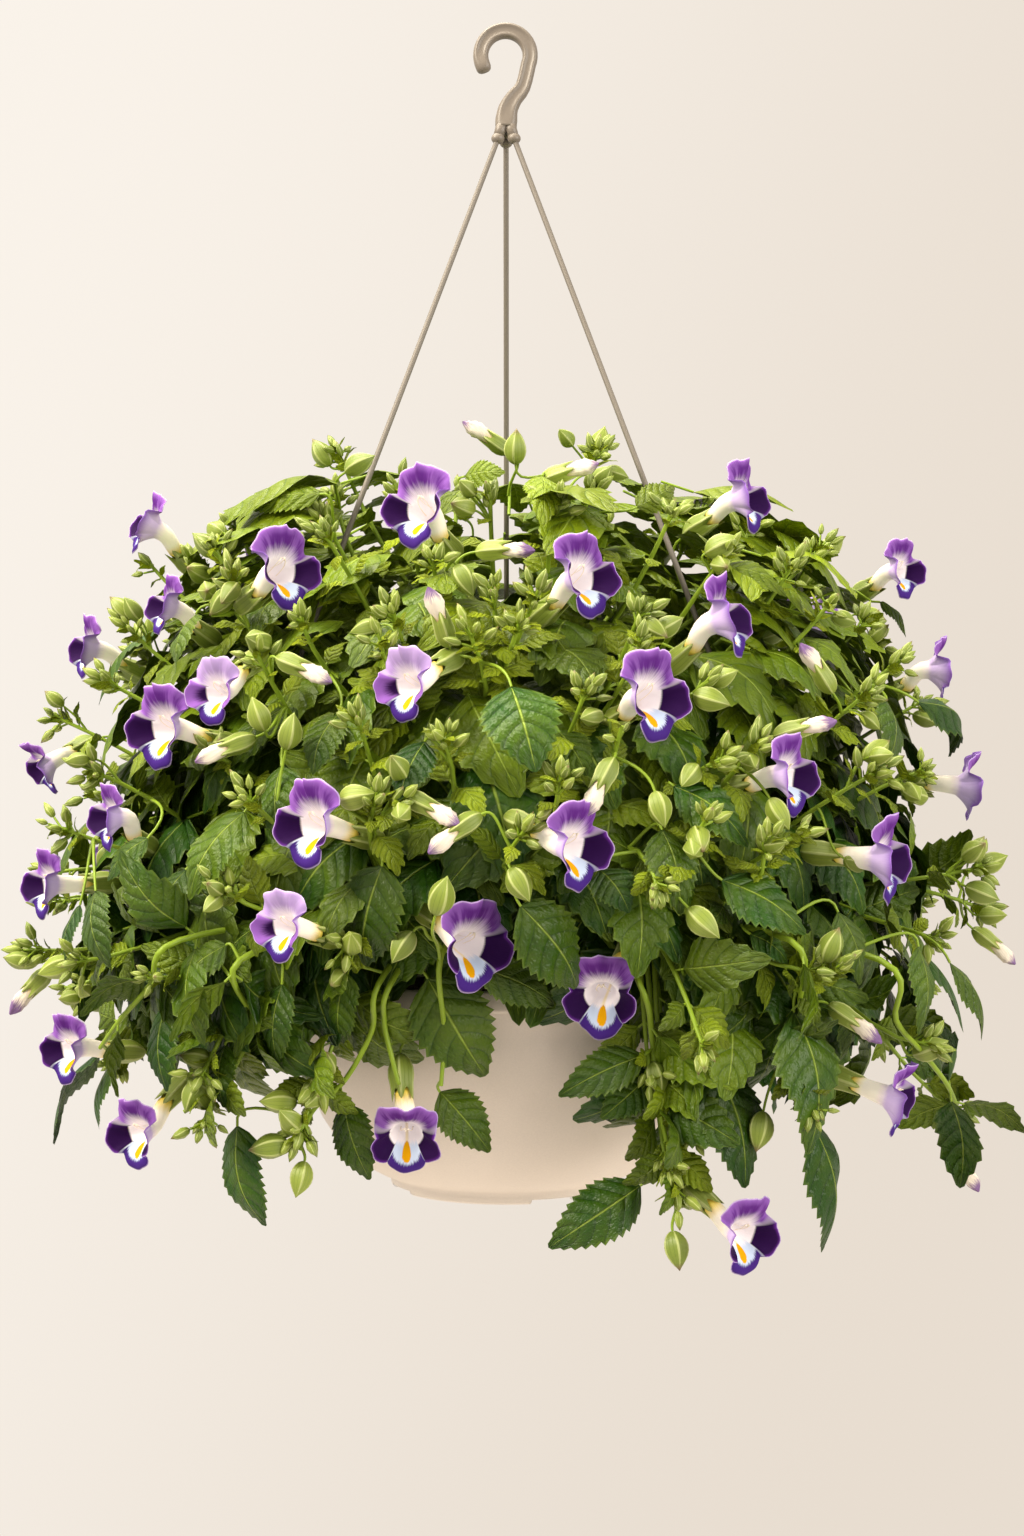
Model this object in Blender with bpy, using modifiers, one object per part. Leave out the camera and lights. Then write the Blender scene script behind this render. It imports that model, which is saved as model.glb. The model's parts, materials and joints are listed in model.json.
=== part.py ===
# Hanging basket of wishbone flowers: a moulded pot on three wires under a plastic hook, filled with
# a mound of leafy stems that carry toothed leaves, ribbed pods and two-lipped blooms.
# Metres, +Z up. The origin is the inside crown of the hook, where the bar that carries it lies.
# The front of the basket looks along -Y. An azimuth is measured from the front towards +X.

import math
import random

import bmesh
import bpy
from mathutils import Vector
from mathutils.bvhtree import BVHTree

MM = 0.001
UPWARDS = Vector((0, 0, 1))
BACKWARDS = Vector((0, 1, 0))
FIT_GAP = 0.3 * MM

# The front view: level, from VIEW_DISTANCE in front of the hanging axis. Its columns and rows are
# pixels of PIXEL at the axis.
VIEW_DISTANCE = 1210 * MM
PIXEL = 0.55 * MM
AXIS_COLUMN = 506
VIEW_COLUMN = 512
HOOK_ROW = 37.3
VIEW_ROW = 768

# Pot
RIM_Z = -512 * MM
FOOT_Z = -630 * MM
RIM_RADIUS = 129 * MM
LIP_HEIGHT = 10 * MM
LIP_CLEARANCE = 2
WALL = 3 * MM
FLOOR_RECESS = 6.5 * MM
FOOT_INNER_RADIUS = 56 * MM
POT_STEPS = 20
DRAIN_HOLES = 6
DRAIN_CIRCLE = 36 * MM
DRAIN_RADIUS = 3.5 * MM
NOTCH_SIZE = (25 * MM, 26 * MM, 5 * MM)
NOTCH_AZIMUTH = 24
# Height over the foot and radius of the pot's outside, from the foot to the lip
POT_SIDE = [
    (0, 61), (6, 63.5), (9, 70.5), (17, 82.5), (30, 95), (50, 105.8), (78, 118), (108, 125.5),
]

# Soil
SOIL_DROP = 15 * MM
PLANT_CIRCLE = 75 * MM
PLANT_HOLE_RADIUS = 5.7 * MM
PLANT_HOLE_DEPTH = 24 * MM
TRUNK_RADIUS = 4.4 * MM

# Wires and their ears on the rim
WIRE_AZIMUTHS = {"wire_left": -60, "wire_right": 60, "wire_back": 180}
WIRE_RADIUS = 1.5 * MM
WIRE_CIRCLE = 132 * MM
WIRE_TOP_Z = -56.4 * MM
WIRE_TOP_CIRCLE = 5.1 * MM
WIRE_SLOPE = 0.4128
WIRE_BEND = 16 * MM
WIRE_TAIL = 6.5 * MM
EAR_RADIUS = 6.5 * MM
EAR_HOLE_RADIUS = 2.1 * MM
EAR_HEIGHT = 5 * MM
EAR_TOP_Z = RIM_Z - 2 * MM

# Hook
HOOK_RADIUS = 13.6 * MM
HOOK_CENTRE = (-0.3 * MM, -10 * MM)
HOOK_BAR = 4.2 * MM
HOOK_TIP_DEGREES = 200
HOOK_SIDE_DEGREES = -22
HOOK_NECK = [(9.3, -27.2, 1.0), (4.4, -33.6, 1.12), (1.2, -39.5, 1.3), (0.2, -45.5, 1.45), (0, -49.5, 1.4)]
GROOVE_RADIUS = 2.3 * MM
KNUCKLE_RADIUS = 3.7 * MM
KNUCKLE_Z = -56.4 * MM
LEG_TOP_Z = -46 * MM
LEG_RADIUS = 3.0 * MM

# Mound: drop below the hook and half width; the depth is DEPTH_RATIO of the width
MOUND = [
    (216, 33), (238, 94), (254, 137), (282, 176), (309, 201), (364, 234), (419, 253), (474, 264),
    (529, 264), (584, 248), (640, 209),
]
DEPTH_RATIO = 0.82
# In front of the pot the foliage hangs closer: row and greatest depth
FRONT_LIMIT = [(900, 216), (1010, 158), (1290, 150)]

# Clumps: one in the middle and nine around it
SECTORS = 9
SECTOR_DEGREES = 40
FIRST_SECTOR = -40
CORE_HALF_DEGREES = 17.0
CENTRE_RADIUS = 57 * MM
STEM_RADIUS = 1.9 * MM
STEM_TAPER = 0.09
STALK_RADIUS = 1.0 * MM

# Bloom
LIMB_DEGREES = (90, 56, 30, 8, -22, -50, -72, -108, -130, -158, -188, -210, -236, -270 + 18)
LIMB_RADII = (23.5, 22.5, 14, 19.5, 19.5, 12.5, 21, 21, 12.5, 19.5, 19.5, 14, 22.5, 23)
LIMB_FORWARD = (0, 0, 3, 8, 8, 3, 6, 6, 3, 8, 8, 3, 0, -1)
THROAT_RADIUS = 8 * MM
THROAT_SIDES = 7
TUBE_LENGTH = 25 * MM
TUBE_RADIUS = 3.8 * MM
TUBE_SIDES = 5
CALYX_LENGTH = 19 * MM
CALYX_RADIUS = 6.8 * MM
CALYX_MOUTH = 7.1 * MM
CALYX_LIP = 6.3 * MM
CALYX_RECESS = 5.2 * MM
CALYX_SEAT = 3 * MM

# Leaf
LEAF_TEETH = 2
LEAF_THICKNESS = 1.3 * MM
LEAF_ARCH = 0.13
# Outward shifts and stalk reaches that are tried for a leaf, then those for one that found no place
LEAF_CHOICES = (((0, 7, -7, 14), (0, 20, 40)), ((-3, 3, 10, -12, 18, 24), (0, 10, 30, 55)))
MOST_CROSSINGS = 32
LEAF_FOLD = 0.16
POD_LENGTH = 20 * MM
POD_RADIUS = 6.2 * MM
CLOSED_RADIUS = 5.0 * MM
POD_SINK = 3 * MM

# Open blooms of the front: column, row, yaw to the right, pitch upwards, size, and the columns and
# rows from the bloom to its calyx
BLOOMS = [
    (147, 525, -70, 22, 0.85, 26, 25), (285, 570, 32, 5, 1.0, -28, 18), (418, 508, -22, 8, 1.0, 20, 24),
    (585, 577, 32, 8, 1.0, -26, 22), (728, 618, 68, 14, 1.0, -34, 30), (747, 498, 62, 8, 0.95, -32, 18),
    (903, 570, 34, 0, 0.8, -24, 14), (940, 670, 66, -2, 0.85, -30, 16),
    (969, 787, 70, -4, 0.9, -38, -4), (888, 860, 58, -4, 1.05, -44, -4),
    (792, 776, 46, 0, 0.95, -34, 8), (653, 697, 30, 2, 1.05, -22, 14), (577, 847, 38, -4, 1.0, -34, -14),
    (473, 947, 26, -8, 1.05, -30, -20), (601, 998, -10, -14, 1.0, 22, -36),
    (405, 685, -26, -4, 0.85, 26, -16), (309, 825, -28, 0, 1.0, 34, 8), (281, 927, -24, -2, 0.8, 28, 8),
    (214, 692, -20, 0, 0.8, 22, -20), (160, 728, -26, -2, 1.0, 40, 10), (86, 648, -64, 4, 0.85, 32, 16),
    (44, 885, -50, 0, 0.85, 36, 0), (108, 818, -60, -4, 0.8, 18, 18), (66, 1050, -32, -4, 0.85, 36, 4),
    (135, 1135, -28, -10, 0.85, 24, -26), (406, 1140, 0, -30, 0.95, -4, -42),
    (747, 1237, 28, -12, 0.95, -34, -28), (899, 1100, 58, -16, 0.9, -40, -14),
    (42, 768, -62, -34, 0.8, 24, -16), (165, 606, -60, 12, 0.75, 24, 18),
]
# Open blooms of the sides and the back: azimuth, drop below the hook, yaw off the azimuth, pitch, size
FAR_BLOOMS = [
    (114, 312, 12, 8, 0.95), (112, 470, -14, -4, 1.0), (128, 262, 10, 20, 0.9), (140, 390, 0, 4, 1.0),
    (154, 545, -10, -12, 0.9), (166, 305, 14, 10, 1.0), (190, 440, -6, 0, 1.0), (206, 258, 8, 18, 0.85),
    (212, 530, 10, -10, 1.0), (228, 345, -12, 6, 0.95), (248, 455, 8, -4, 0.95),
    (250, 266, -8, 18, 0.9),
]
# Large leaves of the front: column and row of the base, then of the tip, and the width in pixels
LEAVES = [
    (511, 688, 532, 768, 80), (382, 866, 364, 970, 76), (520, 905, 576, 986, 72),
    (480, 966, 559, 1004, 46), (424, 980, 480, 1084, 82), (272, 766, 270, 840, 52),
    (254, 812, 196, 898, 62), (226, 945, 178, 990, 44), (212, 965, 190, 1046, 56),
    (166, 1005, 167, 1092, 54), (236, 1044, 234, 1106, 44), (226, 1128, 244, 1232, 60),
    (344, 1105, 370, 1180, 46), (300, 982, 296, 1060, 44), (347, 974, 341, 1046, 42),
    (440, 1092, 492, 1150, 50), (630, 1052, 546, 1088, 46), (640, 1076, 596, 1118, 42),
    (640, 1186, 550, 1250, 60), (704, 1062, 736, 1186, 80), (772, 1010, 796, 1150, 84),
    (812, 1122, 822, 1252, 70), (716, 934, 720, 1028, 64), (722, 880, 806, 934, 60),
    (662, 830, 682, 912, 56), (674, 786, 752, 842, 56), (905, 946, 905, 1034, 44),
    (936, 962, 968, 1040, 40), (320, 494, 250, 510, 34), (645, 506, 683, 486, 30),
    (722, 566, 790, 592, 34), (880, 602, 910, 634, 34), (918, 702, 966, 748, 34),
    (122, 890, 128, 966, 50), (80, 905, 65, 962, 40), (97, 1068, 86, 1130, 40),
    (560, 730, 590, 776, 44), (330, 715, 300, 770, 48), (760, 935, 800, 962, 34),
    (470, 480, 510, 476, 30), (540, 478, 540, 520, 40), (186, 870, 156, 930, 50),
    (600, 870, 632, 910, 48), (900, 700, 900, 776, 44), (196, 614, 176, 664, 40),
    (838, 912, 860, 985, 46), (428, 742, 402, 800, 46), (160, 838, 120, 880, 40),
]
# Pods of the front: column, row and tilt of the tip from upright, clockwise
PODS = [
    (600, 443, 0), (516, 447, 0), (321, 452, -16), (360, 464, 70), (258, 713, -8), (290, 731, 24),
    (357, 797, 80), (520, 885, 150), (402, 948, 210), (441, 897, 20), (660, 810, 172), (703, 922, 140),
    (832, 945, 8), (278, 1102, 275), (270, 1147, 262), (300, 1180, 182), (676, 1250, 180),
    (657, 1080, 174), (760, 1130, 205), (992, 862, 60), (982, 893, 120), (832, 546, 40), (722, 546, 60),
    (206, 544, -40), (465, 581, 150), (56, 968, 245), (712, 700, 110), (930, 1048, 60),
    (192, 1098, 190), (780, 815, 160),
]
# Closed corollas of the front, in the same terms
CLOSED = [
    (488, 437, -55), (303, 668, 108), (226, 748, 245), (432, 808, 115), (455, 832, 235),
    (440, 618, -14), (600, 785, 212), (818, 668, -46), (803, 728, 70), (855, 1022, 132),
    (994, 945, 140), (964, 1168, 160), (30, 990, 210), (505, 550, 88), (568, 472, 70),
]
# Lengths behind a pod or calyx and point counts of the stalks that are tried for it
NECK_CHOICES = ((0, 3), (10, 3), (20, 3), (0, 2), (20, 2))
CORE_SEED = 11
LEAF_SEED = 12


def remove_everything():
    for item in list(bpy.data.objects):
        bpy.data.objects.remove(item)


def new_collection(name):
    group = bpy.data.collections.new(name)
    bpy.context.scene.collection.children.link(group)
    return group


def material(name, colour, roughness, metallic=0.0):
    made = bpy.data.materials.new(name)
    made.use_nodes = True
    shader = made.node_tree.nodes["Principled BSDF"]
    shader.inputs["Base Color"].default_value = (*colour, 1)
    shader.inputs["Roughness"].default_value = roughness
    shader.inputs["Metallic"].default_value = metallic
    return made


def add_object(name, mesh, group, look=None):
    item = bpy.data.objects.new(name, mesh)
    group.objects.link(item)
    if look:
        mesh.materials.clear()
        mesh.materials.append(look)
    return item


def interpolate(table, at):
    if at <= table[0][0]:
        return table[0][1]
    for (low, first), (high, second) in zip(table, table[1:]):
        if at <= high:
            return first + (second - first) * (at - low) / (high - low)
    return table[-1][1]


def direction(azimuth, pitch=0.0):
    turn, rise = math.radians(azimuth), math.radians(pitch)
    return Vector((math.sin(turn) * math.cos(rise), -math.cos(turn) * math.cos(rise), math.sin(rise)))


def around(azimuth, radius, z):
    return direction(azimuth) * radius + Vector((0, 0, z))


def azimuth_of(point):
    return math.degrees(math.atan2(point.x, -point.y))


def mound_radius(azimuth, z):
    width = interpolate(MOUND, -z / MM) * MM
    turn = math.radians(azimuth)
    return width / math.hypot(math.sin(turn), math.cos(turn) / DEPTH_RATIO)


def view_point(column, row, depth):
    """The point that stands `depth` in front of the hanging axis at a place of the front view."""
    scale = PIXEL * (VIEW_DISTANCE - depth) / VIEW_DISTANCE
    x = (VIEW_COLUMN - AXIS_COLUMN) * PIXEL + (column - VIEW_COLUMN) * scale
    z = -(VIEW_ROW - HOOK_ROW) * PIXEL - (row - VIEW_ROW) * scale
    return Vector((x, -depth, z))


def front_point(column, row, sink=0.0):
    """The point of the mound's front at a place of the front view."""
    depth = 0.0
    limit = interpolate(FRONT_LIMIT, row) * MM
    for _ in range(12):
        spot = view_point(column, row, depth)
        width = interpolate(MOUND, -spot.z / MM) * MM
        reach = DEPTH_RATIO * math.sqrt(max(width * width - spot.x * spot.x, 0))
        depth = 0.5 * depth + 0.5 * min(reach, limit)
    return view_point(column, row, depth - sink)


def bezier(start, start_pull, end_pull, end, count):
    points = []
    for step in range(count):
        t = step / (count - 1)
        u = 1 - t
        points.append(start * u**3 + start_pull * (3 * u * u * t) + end_pull * (3 * u * t * t) + end * t**3)
    return points


def stitch(bm, first, second):
    """Triangles between two closed loops, which may have unlike counts or be one point."""
    i = len(first) if len(first) == 1 else 0
    j = len(second) if len(second) == 1 else 0
    while i < len(first) or j < len(second):
        forward = i < len(first) and (j >= len(second) or (i + 1) / len(first) <= (j + 1) / len(second))
        a, b = first[i % len(first)], second[j % len(second)]
        if forward:
            bm.faces.new((a, b, first[(i + 1) % len(first)]))
            i += 1
        else:
            bm.faces.new((a, b, second[(j + 1) % len(second)]))
            j += 1


def skin(rings):
    """A closed mesh over loops of points. A loop of one point is a tip, and other ends are capped."""
    bm = bmesh.new()
    loops = [[bm.verts.new(point) for point in ring] for ring in rings]
    for first, second in zip(loops, loops[1:]):
        # The smaller loop leads, so that both faces of a petal are split alike
        stitch(bm, *sorted((first, second), key=len))
    for end in (loops[0], loops[-1]):
        if len(end) > 1:
            bm.faces.new(end)
    return finish(bm)


def finish(bm):
    bmesh.ops.recalc_face_normals(bm, faces=bm.faces)
    if bm.calc_volume(signed=True) < 0:
        bmesh.ops.reverse_faces(bm, faces=bm.faces)
    mesh = bpy.data.meshes.new("shape")
    bm.to_mesh(mesh)
    bm.free()
    return mesh


def cross_axes(axis, up=UPWARDS):
    side = axis.cross(up)
    if side.length < 0.05:
        side = axis.cross(BACKWARDS)
    side.normalize()
    return side, side.cross(axis).normalized()


def ring(centre, axis, radius, sides, up=UPWARDS):
    side, rise = cross_axes(axis, up)
    points = []
    for step in range(sides):
        turn = math.tau * step / sides
        points.append(centre + side * (radius * math.cos(turn)) + rise * (radius * math.sin(turn)))
    return points


def carried_rings(points, radii, sides, axis=None):
    """Loops along points that turn with their path and don't twist about it.

    With an axis the path leads backwards from what it carries, and its first loop faces that axis.
    """
    rings = []
    side = None
    for index, point in enumerate(points):
        before, after = points[max(index - 1, 0)], points[min(index + 1, len(points) - 1)]
        along = (before - after if axis else after - before).normalized()
        along = axis if axis and index == 0 else along
        side = side - along * side.dot(along) if side else cross_axes(along)[0]
        side.normalize()
        rise = side.cross(along)
        turns = [math.tau * step / sides for step in range(sides)]
        rings.append([point + (side * math.cos(t) + rise * math.sin(t)) * radii[index] for t in turns])
    return rings


def stalk(points, radii, sides=3):
    """A thin round stem along points."""
    return skin(carried_rings(points, radii, sides))


def curve_mesh(name, points, radius, sizes=None, resolution=2):
    """A tube with welded caps along points."""
    data = bpy.data.curves.new(name, "CURVE")
    data.dimensions = "3D"
    data.bevel_depth = radius
    data.bevel_resolution = resolution
    data.use_fill_caps = True
    spline = data.splines.new("POLY")
    spline.points.add(len(points) - 1)
    for index, point in enumerate(points):
        spline.points[index].co = (*point, 1)
        spline.points[index].radius = sizes[index] if sizes else 1
    item = bpy.data.objects.new(name, data)
    bpy.context.scene.collection.objects.link(item)
    mesh = bpy.data.meshes.new_from_object(item.evaluated_get(bpy.context.evaluated_depsgraph_get()))
    bpy.data.objects.remove(item)
    bm = bmesh.new()
    bm.from_mesh(mesh)
    bmesh.ops.remove_doubles(bm, verts=bm.verts, dist=0.01 * MM)
    bm.to_mesh(mesh)
    bm.free()
    return mesh


def cylinder(name, centre, radius, height, sides, group):
    bm = bmesh.new()
    bmesh.ops.create_cone(
        bm, cap_ends=True, segments=sides, radius1=radius, radius2=radius, depth=height,
    )
    bmesh.ops.translate(bm, verts=bm.verts, vec=centre)
    mesh = bpy.data.meshes.new(name)
    bm.to_mesh(mesh)
    bm.free()
    return add_object(name, mesh, group)


def turned(name, profile, group, look):
    """A solid turned about the hanging axis, from a profile that runs down its outer side."""
    mesh = bpy.data.meshes.new(name)
    edges = [(index, index + 1) for index in range(len(profile) - 1)]
    mesh.from_pydata([(radius, 0, z) for radius, z in profile], edges, [])
    item = add_object(name, mesh, group, look)
    screw = item.modifiers.new("turn", "SCREW")
    screw.axis = "Z"
    screw.steps = POT_STEPS
    screw.render_steps = POT_STEPS
    screw.use_merge_vertices = True
    screw.merge_threshold = 0.00001
    screw.use_normal_calculate = True
    return item


def combine(item, operation, group, solver="EXACT"):
    modifier = item.modifiers.new(operation.lower(), "BOOLEAN")
    modifier.operation = operation
    modifier.operand_type = "COLLECTION"
    modifier.collection = group
    modifier.solver = solver


def hide_cutters(group):
    for item in group.objects:
        item.hide_render = True
        item.display_type = "WIRE"


def apply_modifiers(item):
    mesh = bpy.data.meshes.new_from_object(item.evaluated_get(bpy.context.evaluated_depsgraph_get()))
    item.modifiers.clear()
    item.data = mesh


def clear_group(group):
    for item in list(group.objects):
        bpy.data.objects.remove(item)
    bpy.data.collections.remove(group)


def pot_inner_radius(height):
    outside = interpolate(POT_SIDE, height / MM) * MM
    return outside - WALL


def inner_profile():
    """Radius and height over the foot of the pot's inside, from the lip down to the floor."""
    floor = FLOOR_RECESS + WALL
    points = [(RIM_RADIUS - WALL, RIM_Z - FOOT_Z)]
    for height, _ in reversed(POT_SIDE):
        if height * MM > floor + 4 * MM:
            points.append((pot_inner_radius(height * MM), height * MM))
    points.append((FOOT_INNER_RADIUS, floor))
    return points


def make_pot(group, look):
    lip_z = RIM_Z - FOOT_Z
    inside = inner_profile()
    outside = [(RIM_RADIUS, lip_z), (RIM_RADIUS, lip_z - LIP_HEIGHT)]
    outside += [(radius * MM, height * MM) for height, radius in reversed(POT_SIDE)]
    underside = [(FOOT_INNER_RADIUS, 0), (FOOT_INNER_RADIUS, FLOOR_RECESS), (0, FLOOR_RECESS)]
    profile = [(0, inside[-1][1])] + inside[::-1] + outside + underside
    pot = turned("pot", [(radius, FOOT_Z + height) for radius, height in profile], group, look)

    ears = new_collection("rim ears")
    for name, azimuth in WIRE_AZIMUTHS.items():
        centre = around(azimuth, WIRE_CIRCLE, EAR_TOP_Z - EAR_HEIGHT / 2)
        cylinder(f"ear {name}", centre, EAR_RADIUS, EAR_HEIGHT, 12, ears)
    combine(pot, "UNION", ears)
    hide_cutters(ears)

    inner_cut = new_collection("pot cutters")
    for name, azimuth in WIRE_AZIMUTHS.items():
        centre = around(azimuth, WIRE_CIRCLE, EAR_TOP_Z - EAR_HEIGHT / 2)
        cylinder(f"ear hole {name}", centre, EAR_HOLE_RADIUS, 4 * EAR_HEIGHT, 10, inner_cut)
    for index in range(DRAIN_HOLES):
        centre = around(index * 360 / DRAIN_HOLES, DRAIN_CIRCLE, FOOT_Z + FLOOR_RECESS + WALL / 2)
        cylinder(f"drain hole {index}", centre, DRAIN_RADIUS, 4 * WALL, 6, inner_cut)
    for index in range(4):
        azimuth = NOTCH_AZIMUTH + 90 * index
        bm = bmesh.new()
        bmesh.ops.create_cube(bm, size=1)
        bmesh.ops.scale(bm, vec=NOTCH_SIZE, verts=bm.verts)
        mesh = bpy.data.meshes.new("notch")
        bm.to_mesh(mesh)
        bm.free()
        notch = add_object(f"foot notch {index}", mesh, inner_cut)
        notch.location = around(azimuth, (FOOT_INNER_RADIUS + 64 * MM) / 2, FOOT_Z)
        notch.rotation_euler.z = math.radians(azimuth)
    combine(pot, "DIFFERENCE", inner_cut)
    hide_cutters(inner_cut)
    return pot


def plant_places():
    """Azimuth and radius of each plant's hole in the soil, the middle one first."""
    places = [(0, 0.0)]
    places += [(FIRST_SECTOR + SECTOR_DEGREES * index, PLANT_CIRCLE) for index in range(SECTORS)]
    return places


def make_soil(group, look):
    top = RIM_Z - FOOT_Z - SOIL_DROP
    gap = FIT_GAP + 0.1 * MM
    profile = [(0, top), (pot_inner_radius(top) - gap, top)]
    profile += [(radius - gap, height) for radius, height in inner_profile() if height < top]
    profile[-1] = (profile[-1][0], profile[-1][1] + FIT_GAP)
    profile.append((0, profile[-1][1]))
    soil = turned("soil", [(radius, FOOT_Z + height) for radius, height in profile], group, look)
    holes = new_collection("plant holes")
    for index, (azimuth, radius) in enumerate(plant_places()):
        centre = around(azimuth, radius, FOOT_Z + top)
        cylinder(f"plant hole {index}", centre, PLANT_HOLE_RADIUS, 2 * PLANT_HOLE_DEPTH, 6, holes)
    combine(soil, "DIFFERENCE", holes)
    hide_cutters(holes)
    return soil


def wire_line(azimuth, drop):
    """A point of a wire's slanted run, `drop` below its upper end."""
    return around(azimuth, WIRE_TOP_CIRCLE + WIRE_SLOPE * drop, WIRE_TOP_Z - drop)


def wire_points(azimuth):
    shoulder_drop = (WIRE_CIRCLE - WIRE_TOP_CIRCLE) / WIRE_SLOPE
    shoulder = wire_line(azimuth, shoulder_drop)
    before = wire_line(azimuth, shoulder_drop - WIRE_BEND)
    after = shoulder - Vector((0, 0, WIRE_BEND))
    foot_z = EAR_TOP_Z - EAR_HEIGHT - FIT_GAP - WIRE_RADIUS
    points = [wire_line(azimuth, 0)]
    points += bezier(before, shoulder.lerp(before, 0.4), shoulder.lerp(after, 0.4), after, 5)
    corner = around(azimuth, WIRE_CIRCLE, foot_z)
    points += [corner + Vector((0, 0, 2.4 * MM)), corner + around(azimuth, 0.9 * MM, 0.6 * MM)]
    points += [around(azimuth, WIRE_CIRCLE + WIRE_TAIL, foot_z - 0.6 * MM)]
    return points


def make_wires(group, look):
    for name, azimuth in WIRE_AZIMUTHS.items():
        mesh = curve_mesh(name, wire_points(azimuth), WIRE_RADIUS)
        wire = add_object(name, mesh, group, look)
        wire.data.shade_smooth()


def hook_path():
    """Points and bar sizes from the tip over the crown and down the neck."""
    points = []
    sizes = []
    steps = 12
    for step in range(steps):
        turn = math.radians(HOOK_TIP_DEGREES + (HOOK_SIDE_DEGREES - HOOK_TIP_DEGREES) * step / (steps - 1))
        x = HOOK_CENTRE[0] + HOOK_RADIUS * math.cos(turn)
        z = HOOK_CENTRE[1] + HOOK_RADIUS * math.sin(turn)
        points.append(Vector((x, 0, z)))
        sizes.append(1.0)
    tip = points[0]
    points[0:0] = [tip + Vector((1.6, 0, -4.2)) * MM, tip + Vector((1.0, 0, -3.0)) * MM]
    sizes[0:0] = [0.45, 0.85]
    for x, z, size in HOOK_NECK:
        points.append(Vector((x, 0, z)) * MM)
        sizes.append(size)
    return points, sizes


def make_hook(group, look):
    points, sizes = hook_path()
    hook = add_object("hanger_hook", curve_mesh("hook", points, HOOK_BAR, sizes, 1), group, look)

    feet = new_collection("hook feet")
    for name, azimuth in WIRE_AZIMUTHS.items():
        knuckle = around(azimuth, WIRE_TOP_CIRCLE, KNUCKLE_Z)
        leg = [around(azimuth, 1.8 * MM, LEG_TOP_Z), around(azimuth, WIRE_TOP_CIRCLE - 0.5 * MM, KNUCKLE_Z)]
        add_object(f"leg {name}", curve_mesh("leg", leg, LEG_RADIUS, [1.15, 1.0], 1), feet)
        bm = bmesh.new()
        bmesh.ops.create_uvsphere(bm, u_segments=8, v_segments=5, radius=KNUCKLE_RADIUS)
        bmesh.ops.translate(bm, verts=bm.verts, vec=knuckle)
        mesh = bpy.data.meshes.new("knuckle")
        bm.to_mesh(mesh)
        bm.free()
        add_object(f"knuckle {name}", mesh, feet)
    combine(hook, "UNION", feet)
    hide_cutters(feet)

    cuts = new_collection("hook cutters")
    offset = Vector((0, HOOK_BAR + 0.9 * MM, 0))
    groove = points[2:-3]
    for side in (-1, 1):
        shifted = [point + offset * side for point in groove]
        add_object(f"groove {side}", curve_mesh("groove", shifted, GROOVE_RADIUS, None, 1), cuts)
    for name, azimuth in WIRE_AZIMUTHS.items():
        socket = [wire_line(azimuth, -FIT_GAP), wire_line(azimuth, 12 * MM)]
        add_object(f"socket {name}", curve_mesh("socket", socket, WIRE_RADIUS + FIT_GAP + 0.15 * MM), cuts)
    combine(hook, "DIFFERENCE", cuts)
    hide_cutters(cuts)
    return hook


class Bloom:
    """Where a bloom and its calyx stand."""

    def __init__(self, centre, facing, size, mouth):
        self.centre = centre
        self.facing = facing.normalized()
        self.size = size
        self.mouth = mouth
        self.axis = (centre - mouth).normalized()


def front_bloom(column, row, yaw, pitch, size, columns, rows):
    centre = front_point(column, row)
    sideways = Vector((columns * PIXEL, 0, -rows * PIXEL))
    length = TUBE_LENGTH * (0.55 + 0.45 * size)
    if sideways.length > 0.9 * length:
        sideways *= 0.9 * length / sideways.length
    inward = math.sqrt(length * length - sideways.length_squared)
    return Bloom(centre, direction(yaw, pitch), size, centre + sideways + Vector((0, inward, 0)))


def far_bloom(azimuth, drop, yaw, pitch, size):
    z = -drop * MM
    centre = around(azimuth, mound_radius(azimuth, z), z)
    facing = direction(azimuth + yaw, pitch)
    length = TUBE_LENGTH * (0.55 + 0.45 * size)
    return Bloom(centre, facing, size, centre - (facing + Vector((0, 0, 0.25))).normalized() * length)


def corolla(bloom):
    """Two-lipped limb and tube as one closed solid."""
    side, rise = cross_axes(bloom.facing)
    size = bloom.size * MM
    edge = []
    for degrees, radius, forward in zip(LIMB_DEGREES, LIMB_RADII, LIMB_FORWARD):
        turn = math.radians(degrees)
        across = side * (radius * math.cos(turn)) + rise * (radius * math.sin(turn))
        edge.append(bloom.centre + (across + bloom.facing * forward) * size)
    behind = bloom.centre - bloom.facing * (5 * size)
    inner = limb_ring(behind, side, rise, THROAT_RADIUS * bloom.size)
    outer = limb_ring(behind - bloom.facing * MM, side, rise, THROAT_RADIUS * bloom.size + 1.3 * MM)
    bottom = behind.lerp(bloom.mouth, 0.45)
    seat = bloom.mouth - bloom.axis * CALYX_SEAT
    base = clockwise(ring(seat, bloom.axis, TUBE_RADIUS, TUBE_SIDES, rise), bloom)
    return skin([[bottom], inner, edge, outer, base])


def limb_ring(centre, side, rise, radius):
    points = []
    for step in range(THROAT_SIDES):
        turn = math.radians(90) - math.tau * step / THROAT_SIDES
        points.append(centre + side * (radius * math.cos(turn)) + rise * (radius * math.sin(turn)))
    return points


def clockwise(points, bloom):
    """The tube's base loop, begun at the top and turned the way that the limb's loops run."""
    side, rise = cross_axes(bloom.facing)
    middle = sum(points, Vector()) / len(points)
    return sorted(points, key=lambda point: -loop_angle(point - middle, side, rise))


def loop_angle(offset, side, rise):
    turn = math.degrees(math.atan2(offset.dot(rise), offset.dot(side)))
    return turn if turn <= 91 else turn - 360


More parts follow.
